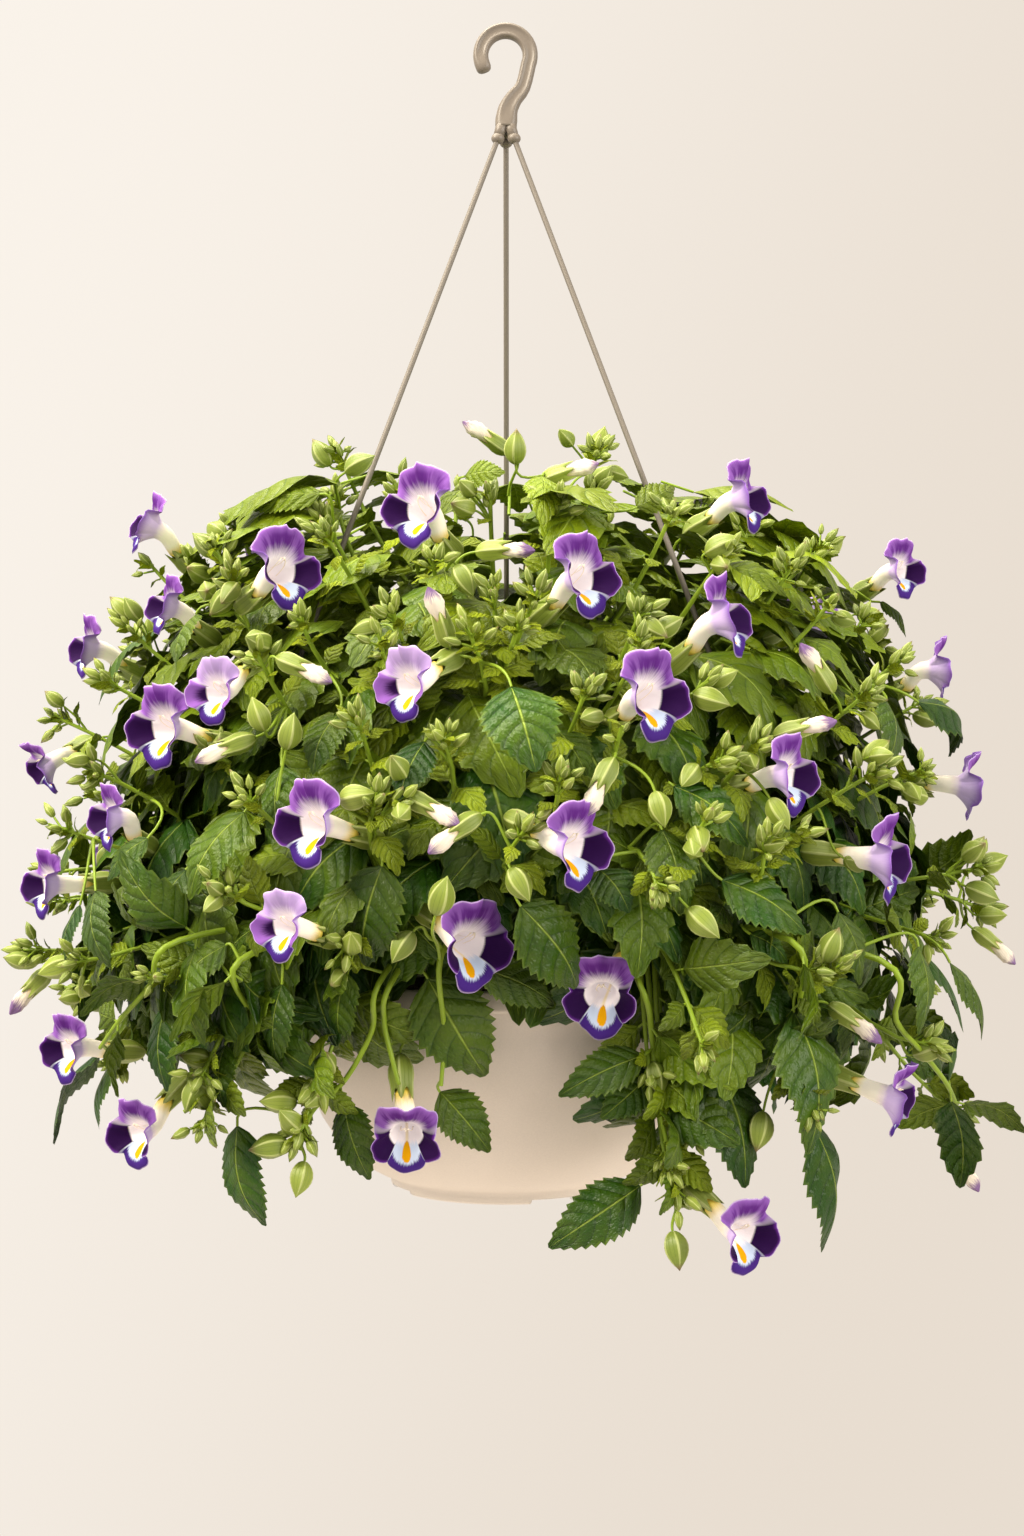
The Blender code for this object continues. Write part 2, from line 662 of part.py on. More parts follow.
def calyx(bloom, neck):
    """Ribbed cup that holds a tube's base, open at its mouth, on the stalk along `neck`."""
    axis = bloom.axis
    lip = bloom.mouth
    rings = [
        ring(lip - axis * (CALYX_SEAT + FIT_GAP), axis, CALYX_RECESS, TUBE_SIDES),
        ring(lip, axis, CALYX_LIP, TUBE_SIDES),
        ring(lip - axis * MM, axis, CALYX_MOUTH, TUBE_SIDES),
        ring(lip - axis * (CALYX_LENGTH * 0.45), axis, CALYX_RADIUS, TUBE_SIDES),
    ]
    return skin(rings + stalk_rings(neck, axis))


def calyx_tail(bloom):
    return bloom.mouth - bloom.axis * CALYX_LENGTH


def pod(centre, axis, neck, radius):
    """Five-sided pod about its centre, its tip along the axis, on the stalk along `neck`."""
    start = centre - axis * (POD_LENGTH / 2)
    rings = [
        [start + axis * POD_LENGTH],
        ring(start + axis * (POD_LENGTH * 0.68), axis, radius * 0.8, 5),
        ring(start + axis * (POD_LENGTH * 0.3), axis, radius, 5),
    ]
    return skin(rings + stalk_rings(neck, axis))


def stalk_rings(neck, axis):
    """Three-sided loops down a stalk, whose first point takes the direction of what it carries."""
    return carried_rings(neck, [STALK_RADIUS] * len(neck), 3, axis)


def leaf_outline():
    """Places along and across a leaf, down one side from the base to the tip, with forward teeth."""
    points = [(0.05, 0.26)]
    for tooth in range(LEAF_TEETH):
        peak = 0.26 + 0.34 * tooth
        notch = peak + 0.09
        points.append((peak, leaf_width(peak) * 1.06))
        points.append((notch, leaf_width(notch) * 0.84))
    return points[:-1]


def leaf_width(along):
    return 0.5 * math.sin(math.pi * along**0.72) ** 0.85


class Leaf:
    """A blade from its base to its tip, its upper face along the normal."""

    def __init__(self, base, tip, outward, width):
        self.base = base
        self.tip = tip
        self.length = (tip - base).length
        self.along = (tip - base).normalized()
        self.normal = (outward - self.along * outward.dot(self.along)).normalized()
        self.side = self.along.cross(self.normal)
        self.width = width

    def shifted(self, offset):
        return Leaf(self.base + offset, self.tip + offset, self.normal, self.width)

    def point(self, along, across, lift=0.0):
        arch = LEAF_ARCH * self.length * math.sin(math.pi * along)
        fold = LEAF_FOLD * self.width * abs(across)
        place = self.base + self.along * (self.length * along) + self.side * (self.width * across)
        return place + self.normal * (arch - fold + lift)


def collar(centre, side, up, size):
    return [centre - side * size, centre + up * size, centre + side * size, centre - up * size]


def leaf_blade(leaf, anchor):
    """Lens-shaped blade, with the same triangles on both faces, on a straight stalk to its anchor."""
    bm = bmesh.new()
    half = LEAF_THICKNESS / 2
    along = (leaf.base - anchor).normalized()
    side = (leaf.side - along * leaf.side.dot(along)).normalized()
    neck = [bm.verts.new(place) for place in collar(leaf.base, leaf.side, leaf.normal, STALK_RADIUS)]
    root = [bm.verts.new(place) for place in collar(anchor, side, side.cross(along), STALK_RADIUS)]
    end = bm.verts.new(leaf.point(1, 0))
    left, right = [[bm.verts.new(leaf.point(a, w * sign)) for a, w in leaf_outline()] for sign in (-1, 1)]
    upper, lower = [[bm.verts.new(leaf.point(a, 0, lift)) for a in (0.33, 0.67)] for lift in (half, -half)]
    chains = [[neck[0], *left, end], [neck[1], *upper, end], [neck[2], *right, end], [neck[3], *lower, end]]
    for index in range(4):
        after = (index + 1) % 4
        fill_between(bm, chains[index], chains[after])
        bm.faces.new((root[index], root[after], neck[after]))
        bm.faces.new((root[index], neck[after], neck[index]))
    bm.faces.new(root)
    return finish(bm)


def fill_between(bm, first, second):
    """Triangles between two chains that end in the same point."""
    i = j = 0
    while i < len(first) - 2 or j < len(second) - 2:
        ahead = (i + 1) / (len(first) - 1) <= (j + 1) / (len(second) - 1)
        if i < len(first) - 2 and (ahead or j == len(second) - 2):
            bm.faces.new((first[i], first[i + 1], second[j]))
            i += 1
        else:
            bm.faces.new((first[i], second[j + 1], second[j]))
            j += 1
    bm.faces.new((first[-2], first[-1], second[-2]))


class Clump:
    """One plant: its core, its stems and what they carry."""

    def __init__(self, name, azimuth, radius):
        self.name = name
        self.azimuth = azimuth
        self.radius = radius
        self.pieces = []
        self.stems = []


def sector_core(azimuth, chance):
    """Wedge of the inner foliage, from over the soil to the rim, and past it where the mound hangs over."""
    columns = []
    for turn, swell in ((-CORE_HALF_DEGREES, 0.94), (0, 1.0), (CORE_HALF_DEGREES, 0.94)):
        columns.append(core_column(azimuth + turn, swell, chance, azimuth > SECTOR_DEGREES))
    return skin(columns)


def core_column(azimuth, swell, chance, hangs_over):
    def out(z, share):
        return max(share * swell * mound_radius(azimuth, z * MM) / MM * chance.uniform(0.95, 1.04), 80)

    outline = [(70, -505), (64, -420), (64, -310), (72, -284)]
    for z, share in ((-292, 0.55), (-338, 0.62), (-410, 0.63), (-484, 0.6)):
        outline.append((out(z, share), z + chance.uniform(-6, 6)))
    if hangs_over:
        outline += [(max(out(-545, 0.62), 158), -545), (146, -556), (142, -508), (128, -503)]
    else:
        outline += [(122, -503)]
    outline.append((90, -507))
    return [around(azimuth, radius * MM, z * MM) for radius, z in outline]


def centre_core(chance):
    """Lumpy column of the inner foliage over the middle of the pot."""
    rings = [[Vector((0, 0, -505 * MM))]]
    for z, radius in ((-498, 26), (-430, 40), (-340, 44), (-285, 38)):
        centre = Vector((0, 0, z * MM))
        loop = ring(centre, UPWARDS, radius * MM, 7, BACKWARDS)
        rings.append([centre + (point - centre) * chance.uniform(0.85, 1.05) for point in loop])
    rings.append([Vector((0, 0, -262 * MM))])
    return skin(rings)


def trunk(azimuth, radius):
    bottom = RIM_Z - SOIL_DROP - PLANT_HOLE_DEPTH + 0.4 * MM
    points = [around(azimuth, radius, bottom), around(azimuth, radius, RIM_Z + 14 * MM)]
    return stalk(points, [TRUNK_RADIUS, TRUNK_RADIUS], 5)


def stem_tips(clump):
    """Ends of a clump's main stems."""
    if clump.radius == 0:
        places = ((20, 20, -232), (70, 50, -228), (-75, 46, -246), (165, 44, -238))
        return [around(azimuth, radius * MM, z * MM) for azimuth, radius, z in places]
    tips = []
    for turn, z, share in ((-8, -256, 0.88), (8, -330, 0.93), (-6, -425, 0.95), (4, -550, 0.94)):
        azimuth = clump.azimuth + turn
        tips.append(around(azimuth, share * mound_radius(azimuth, z * MM), z * MM))
    return tips


def stem_path(clump, tip):
    azimuth = azimuth_of(tip)
    reach = math.hypot(tip.x, tip.y)
    if clump.radius == 0:
        start = Vector((tip.x * 0.2, tip.y * 0.2, -330 * MM))
        return bezier(start, start + Vector((0, 0, 40 * MM)), tip - Vector((0, 0, 40 * MM)), tip, 5)
    if tip.z < -500 * MM:
        start = around(azimuth, 120 * MM, -470 * MM)
        return bezier(start, around(azimuth, 160 * MM, -460 * MM), tip + Vector((0, 0, 50 * MM)), tip, 5)
    start = around(azimuth, 82 * MM, -400 * MM)
    rise = around(azimuth, 0.55 * reach, (tip.z - 380 * MM) / 2)
    pull = around(azimuth, 0.82 * reach, tip.z - 20 * MM)
    return bezier(start, rise, pull, tip, 5)


class Basket:
    """The clumps and blooms as they are placed, with what each new piece must stay clear of."""

    def __init__(self):
        self.placed = []
        self.clumps = []

    def keep(self, owner, mesh, woody=False):
        self.placed.append((owner, bounds(mesh), search_tree(mesh), woody))

    def near(self, mesh, inflate):
        """What is placed within a mesh's own box."""
        low, high = bounds(mesh)
        for owner, (other_low, other_high), tree, woody in self.placed:
            if all(low[i] - inflate <= other_high[i] and high[i] + inflate >= other_low[i] for i in range(3)):
                yield owner, tree, woody

    def meets(self, owners, mesh, inflate=0.5 * MM):
        """The first piece of another owner that a mesh comes too near to."""
        grown = search_tree(mesh, inflate)
        for other, tree, _ in self.near(mesh, inflate):
            if other not in owners and grown.overlap(tree):
                return other
        return None

    def crossings(self, owner, mesh):
        """How much a mesh crosses all of its own clump, and of that its leaves, pods and calyces."""
        own = search_tree(mesh)
        found = [(len(own.overlap(tree)), woody) for other, tree, woody in self.near(mesh, 0) if other == owner]
        return sum(count for count, _ in found), sum(count for count, woody in found if not woody)

    def clump_at(self, point):
        if math.hypot(point.x, point.y) < CENTRE_RADIUS and point.z > -300 * MM:
            return self.clumps[0]
        index = int(((azimuth_of(point) - FIRST_SECTOR + SECTOR_DEGREES / 2) % 360) // SECTOR_DEGREES)
        return self.clumps[1 + index]


def bounds(mesh):
    places = [vertex.co for vertex in mesh.vertices]
    low = [min(place[i] for place in places) for i in range(3)]
    high = [max(place[i] for place in places) for i in range(3)]
    return low, high


def search_tree(mesh, inflate=0.0):
    places = [vertex.co + vertex.normal * inflate for vertex in mesh.vertices]
    return BVHTree.FromPolygons(places, [list(face.vertices) for face in mesh.polygons])


def nearest_stem(clump, base, leaving):
    """The place on the clump's stems that a stalk leaves from, to enter `base` along `leaving`."""
    outward = direction(azimuth_of(base))
    best = None
    for path in clump.stems:
        for first, second in zip(path[1:-1], path[2:]):
            for share in (0.0, 0.33, 0.67):
                spot = first.lerp(second, share)
                ahead = max((spot - base).dot(outward), 0) + 1.5 * max((spot - base).dot(leaving), 0)
                cost = (spot - base).length + 0.7 * ahead
                if best is None or cost < best[0]:
                    best = (cost, spot)
    return best[1]


def necks_to(clump, base, leaving):
    """Stalks, from curved to straight, from a base that they enter along `leaving` to a stem."""
    necks = []
    for back, count in NECK_CHOICES:
        anchor = nearest_stem(clump, base - leaving * (back * MM), leaving)
        reach = (anchor - base).length
        rise = anchor.lerp(base, 0.4) + Vector((0, 0, reach * 0.1))
        necks.append(bezier(base, base - leaving * (reach * 0.4), rise, anchor, count))
    return necks


def crosses_itself(mesh):
    tree = search_tree(mesh)
    corners = [set(face.vertices) for face in mesh.polygons]
    return any(not corners[a] & corners[b] for a, b in tree.overlap(tree))


def grow_freest(basket, clump, meshes):
    """Adds the one of some meshes that crosses its own clump least, if any is clear of the others."""
    free = [mesh for mesh in meshes if not crosses_itself(mesh) and not basket.meets((clump.name,), mesh)]
    if not free:
        return False
    ranked = [(*basket.crossings(clump.name, mesh), index) for index, mesh in enumerate(free)]
    ranked = [choice for choice in ranked if choice[1] <= MOST_CROSSINGS]
    return bool(ranked) and grow(basket, clump, free[min(ranked)[2]])


def grow(basket, clump, mesh, seated=None, woody=False):
    """Adds a piece to a clump if it is clear of all others. What seats a bloom is always added."""
    other = basket.meets((clump.name, seated), mesh)
    if other and seated:
        print("  crowded:", seated, clump.name, "meets", other)
    if other and not seated:
        return False
    basket.keep(clump.name, mesh, woody)
    clump.pieces.append(mesh)
    return True


def front_leaf(column, row, tip_column, tip_row, width):
    middle = front_point((column + tip_column) / 2, (row + tip_row) / 2, 4 * MM)
    base = front_point(column, row, 14 * MM)
    tip = front_point(tip_column, tip_row, 6 * MM)
    outward = direction(azimuth_of(middle), 24)
    return Leaf(base, tip, outward, width * PIXEL * (VIEW_DISTANCE + middle.y) / VIEW_DISTANCE)


def far_leaves(chance):
    """Leaves of the sides and back, in staggered rows down the mound."""
    for level, (drop, count) in enumerate(((268, 4), (322, 5), (376, 6), (430, 6), (486, 6), (545, 6))):
        for index in range(count):
            azimuth = 84 + 192 * (index + 0.5 * (level % 2)) / (count - 0.5) + chance.uniform(-4, 4)
            z = -(drop + chance.uniform(-12, 12)) * MM
            length = chance.uniform(46, 68) * MM
            base = around(azimuth, 0.86 * mound_radius(azimuth, z), z)
            lean = 0.5 if drop > 400 else 0.75
            tip = around(azimuth + chance.uniform(-8, 8), 1.0 * mound_radius(azimuth, z), z)
            tip = base + (direction(azimuth_of(tip)) * lean - Vector((0, 0, 0.85))).normalized() * length
            outward = direction(azimuth + chance.uniform(-14, 14), 35)
            yield Leaf(base, tip, outward, length * chance.uniform(0.56, 0.66))


def top_leaves(chance):
    for drop, reach, count in ((240, 0.5, 3), (258, 0.6, 4)):
        for index in range(count):
            azimuth = 100 + 160 * index / (count - 1) + chance.uniform(-8, 8)
            z = -drop * MM
            base = around(azimuth, reach * mound_radius(azimuth, z), z)
            tip = base + (direction(azimuth + chance.uniform(-25, 25)) - Vector((0, 0, 0.25))) * (46 * MM)
            yield Leaf(base, tip, direction(azimuth, 70), 28 * MM)


def screen_axis(tilt, outward, lean=0.35):
    turn = math.radians(tilt)
    return (Vector((math.sin(turn), 0, math.cos(turn))) + outward * lean).normalized()


def plant_basket(group, looks):
    basket = Basket()
    for index, (azimuth, radius) in enumerate(plant_places()):
        basket.clumps.append(Clump(f"leafy_stems_{index + 1:02d}", azimuth, radius))
    for name, azimuth in WIRE_AZIMUTHS.items():
        basket.keep(name, curve_mesh(name, wire_points(azimuth), WIRE_RADIUS + FIT_GAP, None, 1))
    basket.keep("pot", turned_guard())
    blooms = [front_bloom(*row) for row in BLOOMS] + [far_bloom(*row) for row in FAR_BLOOMS]
    add_blooms(basket, blooms, group, looks["petal"])
    chance = random.Random(CORE_SEED)
    for clump in basket.clumps:
        add_stems(basket, clump, chance)
    add_calyces(basket, blooms)
    grown = [add_leaf(basket, front_leaf(*row)) for row in LEAVES]
    grown += [add_pod(basket, *row, POD_RADIUS) for row in PODS]
    grown += [add_pod(basket, *row, CLOSED_RADIUS) for row in CLOSED]
    chance = random.Random(LEAF_SEED)
    grown += [add_leaf(basket, leaf) for leaf in far_leaves(chance)]
    grown += [add_leaf(basket, leaf) for leaf in top_leaves(chance)]
    print("leaves and pods grown:", sum(grown), "of", len(grown))
    for clump in basket.clumps:
        fuse(clump, group, looks["leaf"])


def add_blooms(basket, blooms, group, look):
    for index, bloom in enumerate(blooms):
        name = bloom_name(index)
        mesh = corolla(bloom)
        other = basket.meets((name,), mesh)
        if other:
            print("crowded:", name, "meets", other)
        basket.keep(name, mesh)
        add_object(name, mesh, group, look)


def bloom_name(index):
    return f"bloom_{index + 1:02d}"


def add_stems(basket, clump, chance):
    core = sector_core(clump.azimuth, chance) if clump.radius else centre_core(chance)
    grow(basket, clump, core, "core", True)
    clump.pieces.append(trunk(clump.azimuth, clump.radius))
    for tip in stem_tips(clump):
        path = stem_path(clump, tip)
        sizes = [STEM_RADIUS * (1.15 - STEM_TAPER * step) for step in range(len(path))]
        if grow(basket, clump, stalk(path, sizes), None, True):
            clump.stems.append(path)


def add_calyces(basket, blooms):
    for index, bloom in enumerate(blooms):
        clump = basket.clump_at(bloom.mouth)
        cups = [calyx(bloom, neck) for neck in necks_to(clump, calyx_tail(bloom), bloom.axis)]
        whole = [cup for cup in cups if not crosses_itself(cup)]
        grow(basket, clump, (whole or cups)[0], bloom_name(index))


def add_leaf(basket, leaf):
    clump = basket.clump_at(leaf.base)
    outward = direction(azimuth_of(leaf.base))
    for shifts, reaches in LEAF_CHOICES:
        meshes = []
        for shift in shifts:
            moved = leaf.shifted(outward * (shift * MM))
            for reach in reaches:
                anchor = nearest_stem(clump, moved.base - moved.along * (reach * MM), moved.along)
                meshes.append(leaf_blade(moved, anchor))
        if grow_freest(basket, clump, meshes):
            return True
    print("no place for a leaf at", [round(at, 3) for at in leaf.base], clump.name)
    return False


def add_pod(basket, column, row, tilt, radius):
    centre = front_point(column, row, POD_SINK)
    axis = screen_axis(tilt, direction(azimuth_of(centre)))
    clump = basket.clump_at(centre)
    necks = necks_to(clump, centre - axis * (POD_LENGTH / 2), axis)
    return grow_freest(basket, clump, [pod(centre, axis, neck, radius) for neck in necks])


def turned_guard():
    """A plain turned shell that stands for the pot while the foliage is placed."""
    levels = [(height, radius) for height, radius in POT_SIDE]
    levels += [((RIM_Z - FOOT_Z - drop) / MM, RIM_RADIUS / MM + LIP_CLEARANCE) for drop in (LIP_HEIGHT, 0)]
    rings = []
    for height, radius in levels:
        rings.append(ring(Vector((0, 0, FOOT_Z + height * MM)), UPWARDS, radius * MM, 24, BACKWARDS))
    return skin(rings)


def fuse(clump, group, look):
    """One union of everything in the clump, of which the largest body stays."""
    parts = new_collection(f"{clump.name} parts")
    for index, mesh in enumerate(clump.pieces[1:]):
        add_object(f"{clump.name} piece {index}", mesh, parts)
    item = add_object(clump.name, clump.pieces[0], group, look)
    combine(item, "UNION", parts, "MANIFOLD")
    apply_modifiers(item)
    clear_group(parts)
    keep_largest(item.data)
    item.data.materials.clear()
    item.data.materials.append(look)


def keep_largest(mesh):
    bm = bmesh.new()
    bm.from_mesh(mesh)
    bmesh.ops.remove_doubles(bm, verts=bm.verts, dist=0.002 * MM)
    bm.verts.ensure_lookup_table()
    seen = set()
    bodies = []
    for vertex in bm.verts:
        if vertex.index in seen:
            continue
        body = []
        queue = [vertex]
        seen.add(vertex.index)
        while queue:
            current = queue.pop()
            body.append(current)
            for edge in current.link_edges:
                other = edge.other_vert(current)
                if other.index not in seen:
                    seen.add(other.index)
                    queue.append(other)
        bodies.append(body)
    bodies.sort(key=len)
    print("  bodies:", [len(body) for body in bodies][-6:])
    for body in bodies[:-1]:
        bmesh.ops.delete(bm, geom=body, context="VERTS")
    bmesh.ops.triangulate(bm, faces=bm.faces)
    bm.to_mesh(mesh)
    bm.free()


def build():
    remove_everything()
    group = new_collection("wishbone flower basket")
    looks = {
        "pot": material("cream plastic", (0.72, 0.66, 0.58), 0.5),
        "soil": material("soil", (0.06, 0.04, 0.03), 0.95),
        "hook": material("grey plastic", (0.44, 0.39, 0.34), 0.4),
        "wire": material("coated wire", (0.32, 0.3, 0.27), 0.45),
        "leaf": material("leaf green", (0.13, 0.27, 0.07), 0.5),
        "petal": material("violet petal", (0.22, 0.08, 0.45), 0.5),
    }
    make_pot(group, looks["pot"])
    make_soil(group, looks["soil"])
    make_hook(group, looks["hook"])
    make_wires(group, looks["wire"])
    plant_basket(group, looks)


build()
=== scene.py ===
import json
import math
import random

import bmesh
import bpy
from mathutils import Matrix, Vector
from mathutils.kdtree import KDTree

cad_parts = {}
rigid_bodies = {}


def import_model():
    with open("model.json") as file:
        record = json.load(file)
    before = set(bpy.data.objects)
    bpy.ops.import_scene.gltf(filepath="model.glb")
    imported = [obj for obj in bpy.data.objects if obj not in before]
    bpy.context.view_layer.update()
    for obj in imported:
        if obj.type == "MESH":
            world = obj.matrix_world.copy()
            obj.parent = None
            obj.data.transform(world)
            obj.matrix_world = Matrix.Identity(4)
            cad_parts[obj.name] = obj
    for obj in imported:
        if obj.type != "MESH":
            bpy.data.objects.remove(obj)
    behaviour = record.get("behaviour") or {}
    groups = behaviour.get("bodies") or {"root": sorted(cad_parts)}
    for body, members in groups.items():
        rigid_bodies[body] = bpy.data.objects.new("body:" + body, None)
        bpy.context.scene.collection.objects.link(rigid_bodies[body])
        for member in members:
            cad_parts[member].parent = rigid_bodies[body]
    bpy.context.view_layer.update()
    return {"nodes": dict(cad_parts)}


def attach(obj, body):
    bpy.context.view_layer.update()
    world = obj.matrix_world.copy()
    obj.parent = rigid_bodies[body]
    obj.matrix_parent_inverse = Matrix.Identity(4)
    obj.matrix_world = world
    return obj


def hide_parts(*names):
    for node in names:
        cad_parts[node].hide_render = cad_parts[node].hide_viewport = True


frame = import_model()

# A hanging basket of wishbone flowers. All lengths are metres. The hook's inner crown is the origin,
# the front looks along -Y, and an azimuth is measured from the front towards +X.

mm = 0.001
up = Vector((0, 0, 1))
backwards = Vector((0, 1, 0))

# Where the photograph was taken from: level, this far in front of the hanging axis
view = {
    "distance": 1.210,
    "pixel": 0.00055,
    "axisColumn": 506,
    "centreColumn": 512,
    "centreRow": 768,
    "hookRow": 37.3,
}

# Mound of foliage: drop below the hook and half width in mm, and its depth against its width
mound = {
    "outline": [
        (216, 33), (238, 94), (254, 137), (282, 176), (309, 201), (364, 234), (419, 253), (474, 264),
        (529, 264), (584, 248), (640, 209),
    ],
    "depth": 0.82,
    # In front of the pot the foliage hangs closer: row of the photograph and greatest depth in mm
    "frontLimit": [(900, 216), (1010, 158), (1290, 150)],
}

potSize = {
    "rimZ": -0.512,
    "footZ": -0.630,
    "rimRadius": 0.129,
    "lipHeight": 0.010,
    "wall": 0.003,
    "floorRecess": 0.0065,
    "footInnerRadius": 0.056,
    "steps": 112,
    # Height over the foot and radius of the outside, in mm
    "side": [
        (0, 61), (1.2, 62.6), (4, 63.4), (6, 64), (7.6, 66.4), (9, 70.5), (12.4, 76.6), (17, 82.5),
        (23, 89.3), (30, 95), (39, 100.8), (50, 105.8), (63, 112.4), (78, 118), (93, 122.2), (106.5, 125.4),
    ],
}

wireSize = {
    "azimuths": {"wire_left": -60, "wire_right": 60, "wire_back": 180},
    "radius": 0.0015,
    "circle": 0.132,
    "topZ": -0.0564,
    "topCircle": 0.0051,
    "slope": 0.4128,
    "bend": 0.016,
    "tail": 0.0065,
    # Gap between a wire's bent end and the underside of its ear
    "room": 0.0003,
    # Rows down to which the wires are seen in front of the leaves
    "seenTo": {"wire_left": 552, "wire_right": 640, "wire_back": 590},
}

# Open blooms of the front: column, row, yaw to the right, pitch upwards, size, and the columns and
# rows from the bloom to its calyx
blooms = [
    (147, 525, -70, 22, 0.85, 26, 25), (285, 570, 42, 5, 1.0, -28, 18), (418, 508, -32, 8, 1.0, 20, 24),
    (585, 577, 42, 8, 1.0, -26, 22), (728, 618, 68, 14, 1.0, -34, 30), (747, 498, 62, 8, 0.95, -32, 18),
    (903, 570, 44, 0, 0.8, -24, 14), (940, 670, 80, -2, 0.85, -30, 16), (969, 787, 84, -8, 0.9, -38, -4),
    (888, 860, 66, -4, 1.05, -44, -4), (792, 776, 56, 0, 0.95, -34, 8), (653, 697, 40, 2, 1.05, -22, 14),
    (577, 847, 48, -4, 1.0, -34, -14), (473, 947, 36, -8, 1.05, -30, -20),
    (601, 998, -10, -14, 1.0, 22, -36), (405, 685, -36, -4, 0.85, 26, -16), (309, 825, -38, 0, 1.0, 34, 8),
    (281, 927, -34, -2, 0.8, 28, 8), (214, 692, -30, 0, 0.8, 22, -20), (160, 728, -36, -2, 1.0, 40, 10),
    (86, 648, -64, 4, 0.85, 32, 16), (44, 885, -54, 0, 0.85, 36, 0), (108, 818, -60, -4, 0.8, 18, 18),
    (66, 1050, -42, -4, 0.85, 36, 4), (135, 1135, -38, -10, 0.85, 24, -26),
    (406, 1140, 0, -30, 0.95, -4, -42), (747, 1237, 38, -12, 0.95, -34, -28),
    (899, 1100, 70, -16, 0.9, -40, -14), (42, 768, -62, -34, 0.8, 24, -16),
    (165, 606, -60, 12, 0.75, 24, 18),
]
# Places in the table above of the older blooms, which have paled
fadedBlooms = (15, 17, 18)
# Open blooms of the sides and the back: azimuth, drop below the hook, yaw off the azimuth, pitch, size
farBlooms = [
    (114, 312, 12, 8, 0.95), (112, 470, -14, -4, 1.0), (128, 262, 10, 20, 0.9), (140, 390, 0, 4, 1.0),
    (154, 545, -10, -12, 0.9), (166, 305, 14, 10, 1.0), (190, 440, -6, 0, 1.0), (206, 258, 8, 18, 0.85),
    (212, 530, 10, -10, 1.0), (228, 345, -12, 6, 0.95), (248, 455, 8, -4, 0.95), (250, 266, -8, 18, 0.9),
]
# Large leaves of the front: column and row of the base, then of the tip, and the width in pixels
largeLeaves = [
    (511, 688, 532, 768, 80), (382, 866, 364, 970, 76), (520, 905, 576, 986, 72),
    (480, 966, 559, 1004, 46), (424, 980, 480, 1084, 82), (272, 766, 270, 840, 52),
    (254, 812, 196, 898, 62), (226, 945, 178, 990, 44), (212, 965, 190, 1046, 56),
    (166, 1005, 167, 1092, 54), (236, 1044, 234, 1106, 44), (226, 1128, 244, 1232, 60),
    (344, 1105, 370, 1180, 46), (300, 982, 296, 1060, 44), (347, 974, 341, 1046, 42),
    (440, 1092, 492, 1150, 50), (630, 1052, 546, 1088, 46), (640, 1076, 596, 1118, 42),
    (640, 1186, 550, 1250, 60), (704, 1062, 736, 1186, 80), (772, 1010, 796, 1150, 84),
    (812, 1122, 822, 1252, 70), (716, 934, 720, 1028, 64), (722, 880, 806, 934, 60),
    (662, 830, 682, 912, 56), (674, 786, 752, 842, 56), (905, 946, 905, 1034, 44),
    (936, 962, 968, 1040, 40), (320, 494, 250, 510, 34), (645, 506, 683, 486, 30),
    (722, 566, 790, 592, 34), (880, 602, 910, 634, 34), (918, 702, 966, 748, 34),
    (122, 890, 128, 966, 50), (80, 905, 65, 962, 40), (97, 1068, 86, 1130, 40),
    (560, 730, 590, 776, 44), (330, 715, 300, 770, 48), (760, 935, 800, 962, 34),
    (470, 480, 510, 476, 30), (540, 478, 540, 520, 40), (186, 870, 156, 930, 50),
    (600, 870, 632, 910, 48), (900, 700, 900, 776, 44), (196, 614, 176, 664, 40),
    (838, 912, 860, 985, 46), (428, 742, 402, 800, 46), (160, 838, 120, 880, 40),
]
# Pods of the front: column, row and tilt of the tip from upright, clockwise
pods = [
    (600, 443, 0), (516, 447, 0), (321, 452, -16), (360, 464, 70), (258, 713, -8), (290, 731, 24),
    (357, 797, 80), (520, 885, 150), (402, 948, 210), (441, 897, 20), (660, 810, 172), (703, 922, 140),
    (832, 945, 8), (278, 1102, 275), (270, 1147, 262), (300, 1180, 182), (676, 1250, 180),
    (657, 1080, 174), (760, 1130, 205), (992, 862, 60), (982, 893, 120), (832, 546, 40), (722, 546, 60),
    (206, 544, -40), (465, 581, 150), (56, 968, 245), (712, 700, 110), (930, 1048, 60),
    (192, 1098, 190), (780, 815, 160),
]
# Closed corollas of the front, in the same terms
closedBlooms = [
    (488, 437, -55), (303, 668, 108), (226, 748, 245), (432, 808, 115), (455, 832, 235),
    (440, 618, -14), (600, 785, 212), (818, 668, -46), (803, 728, 70), (855, 1022, 132),
    (994, 945, 140), (964, 1168, 160), (30, 990, 210), (505, 550, 88), (568, 472, 70),
]
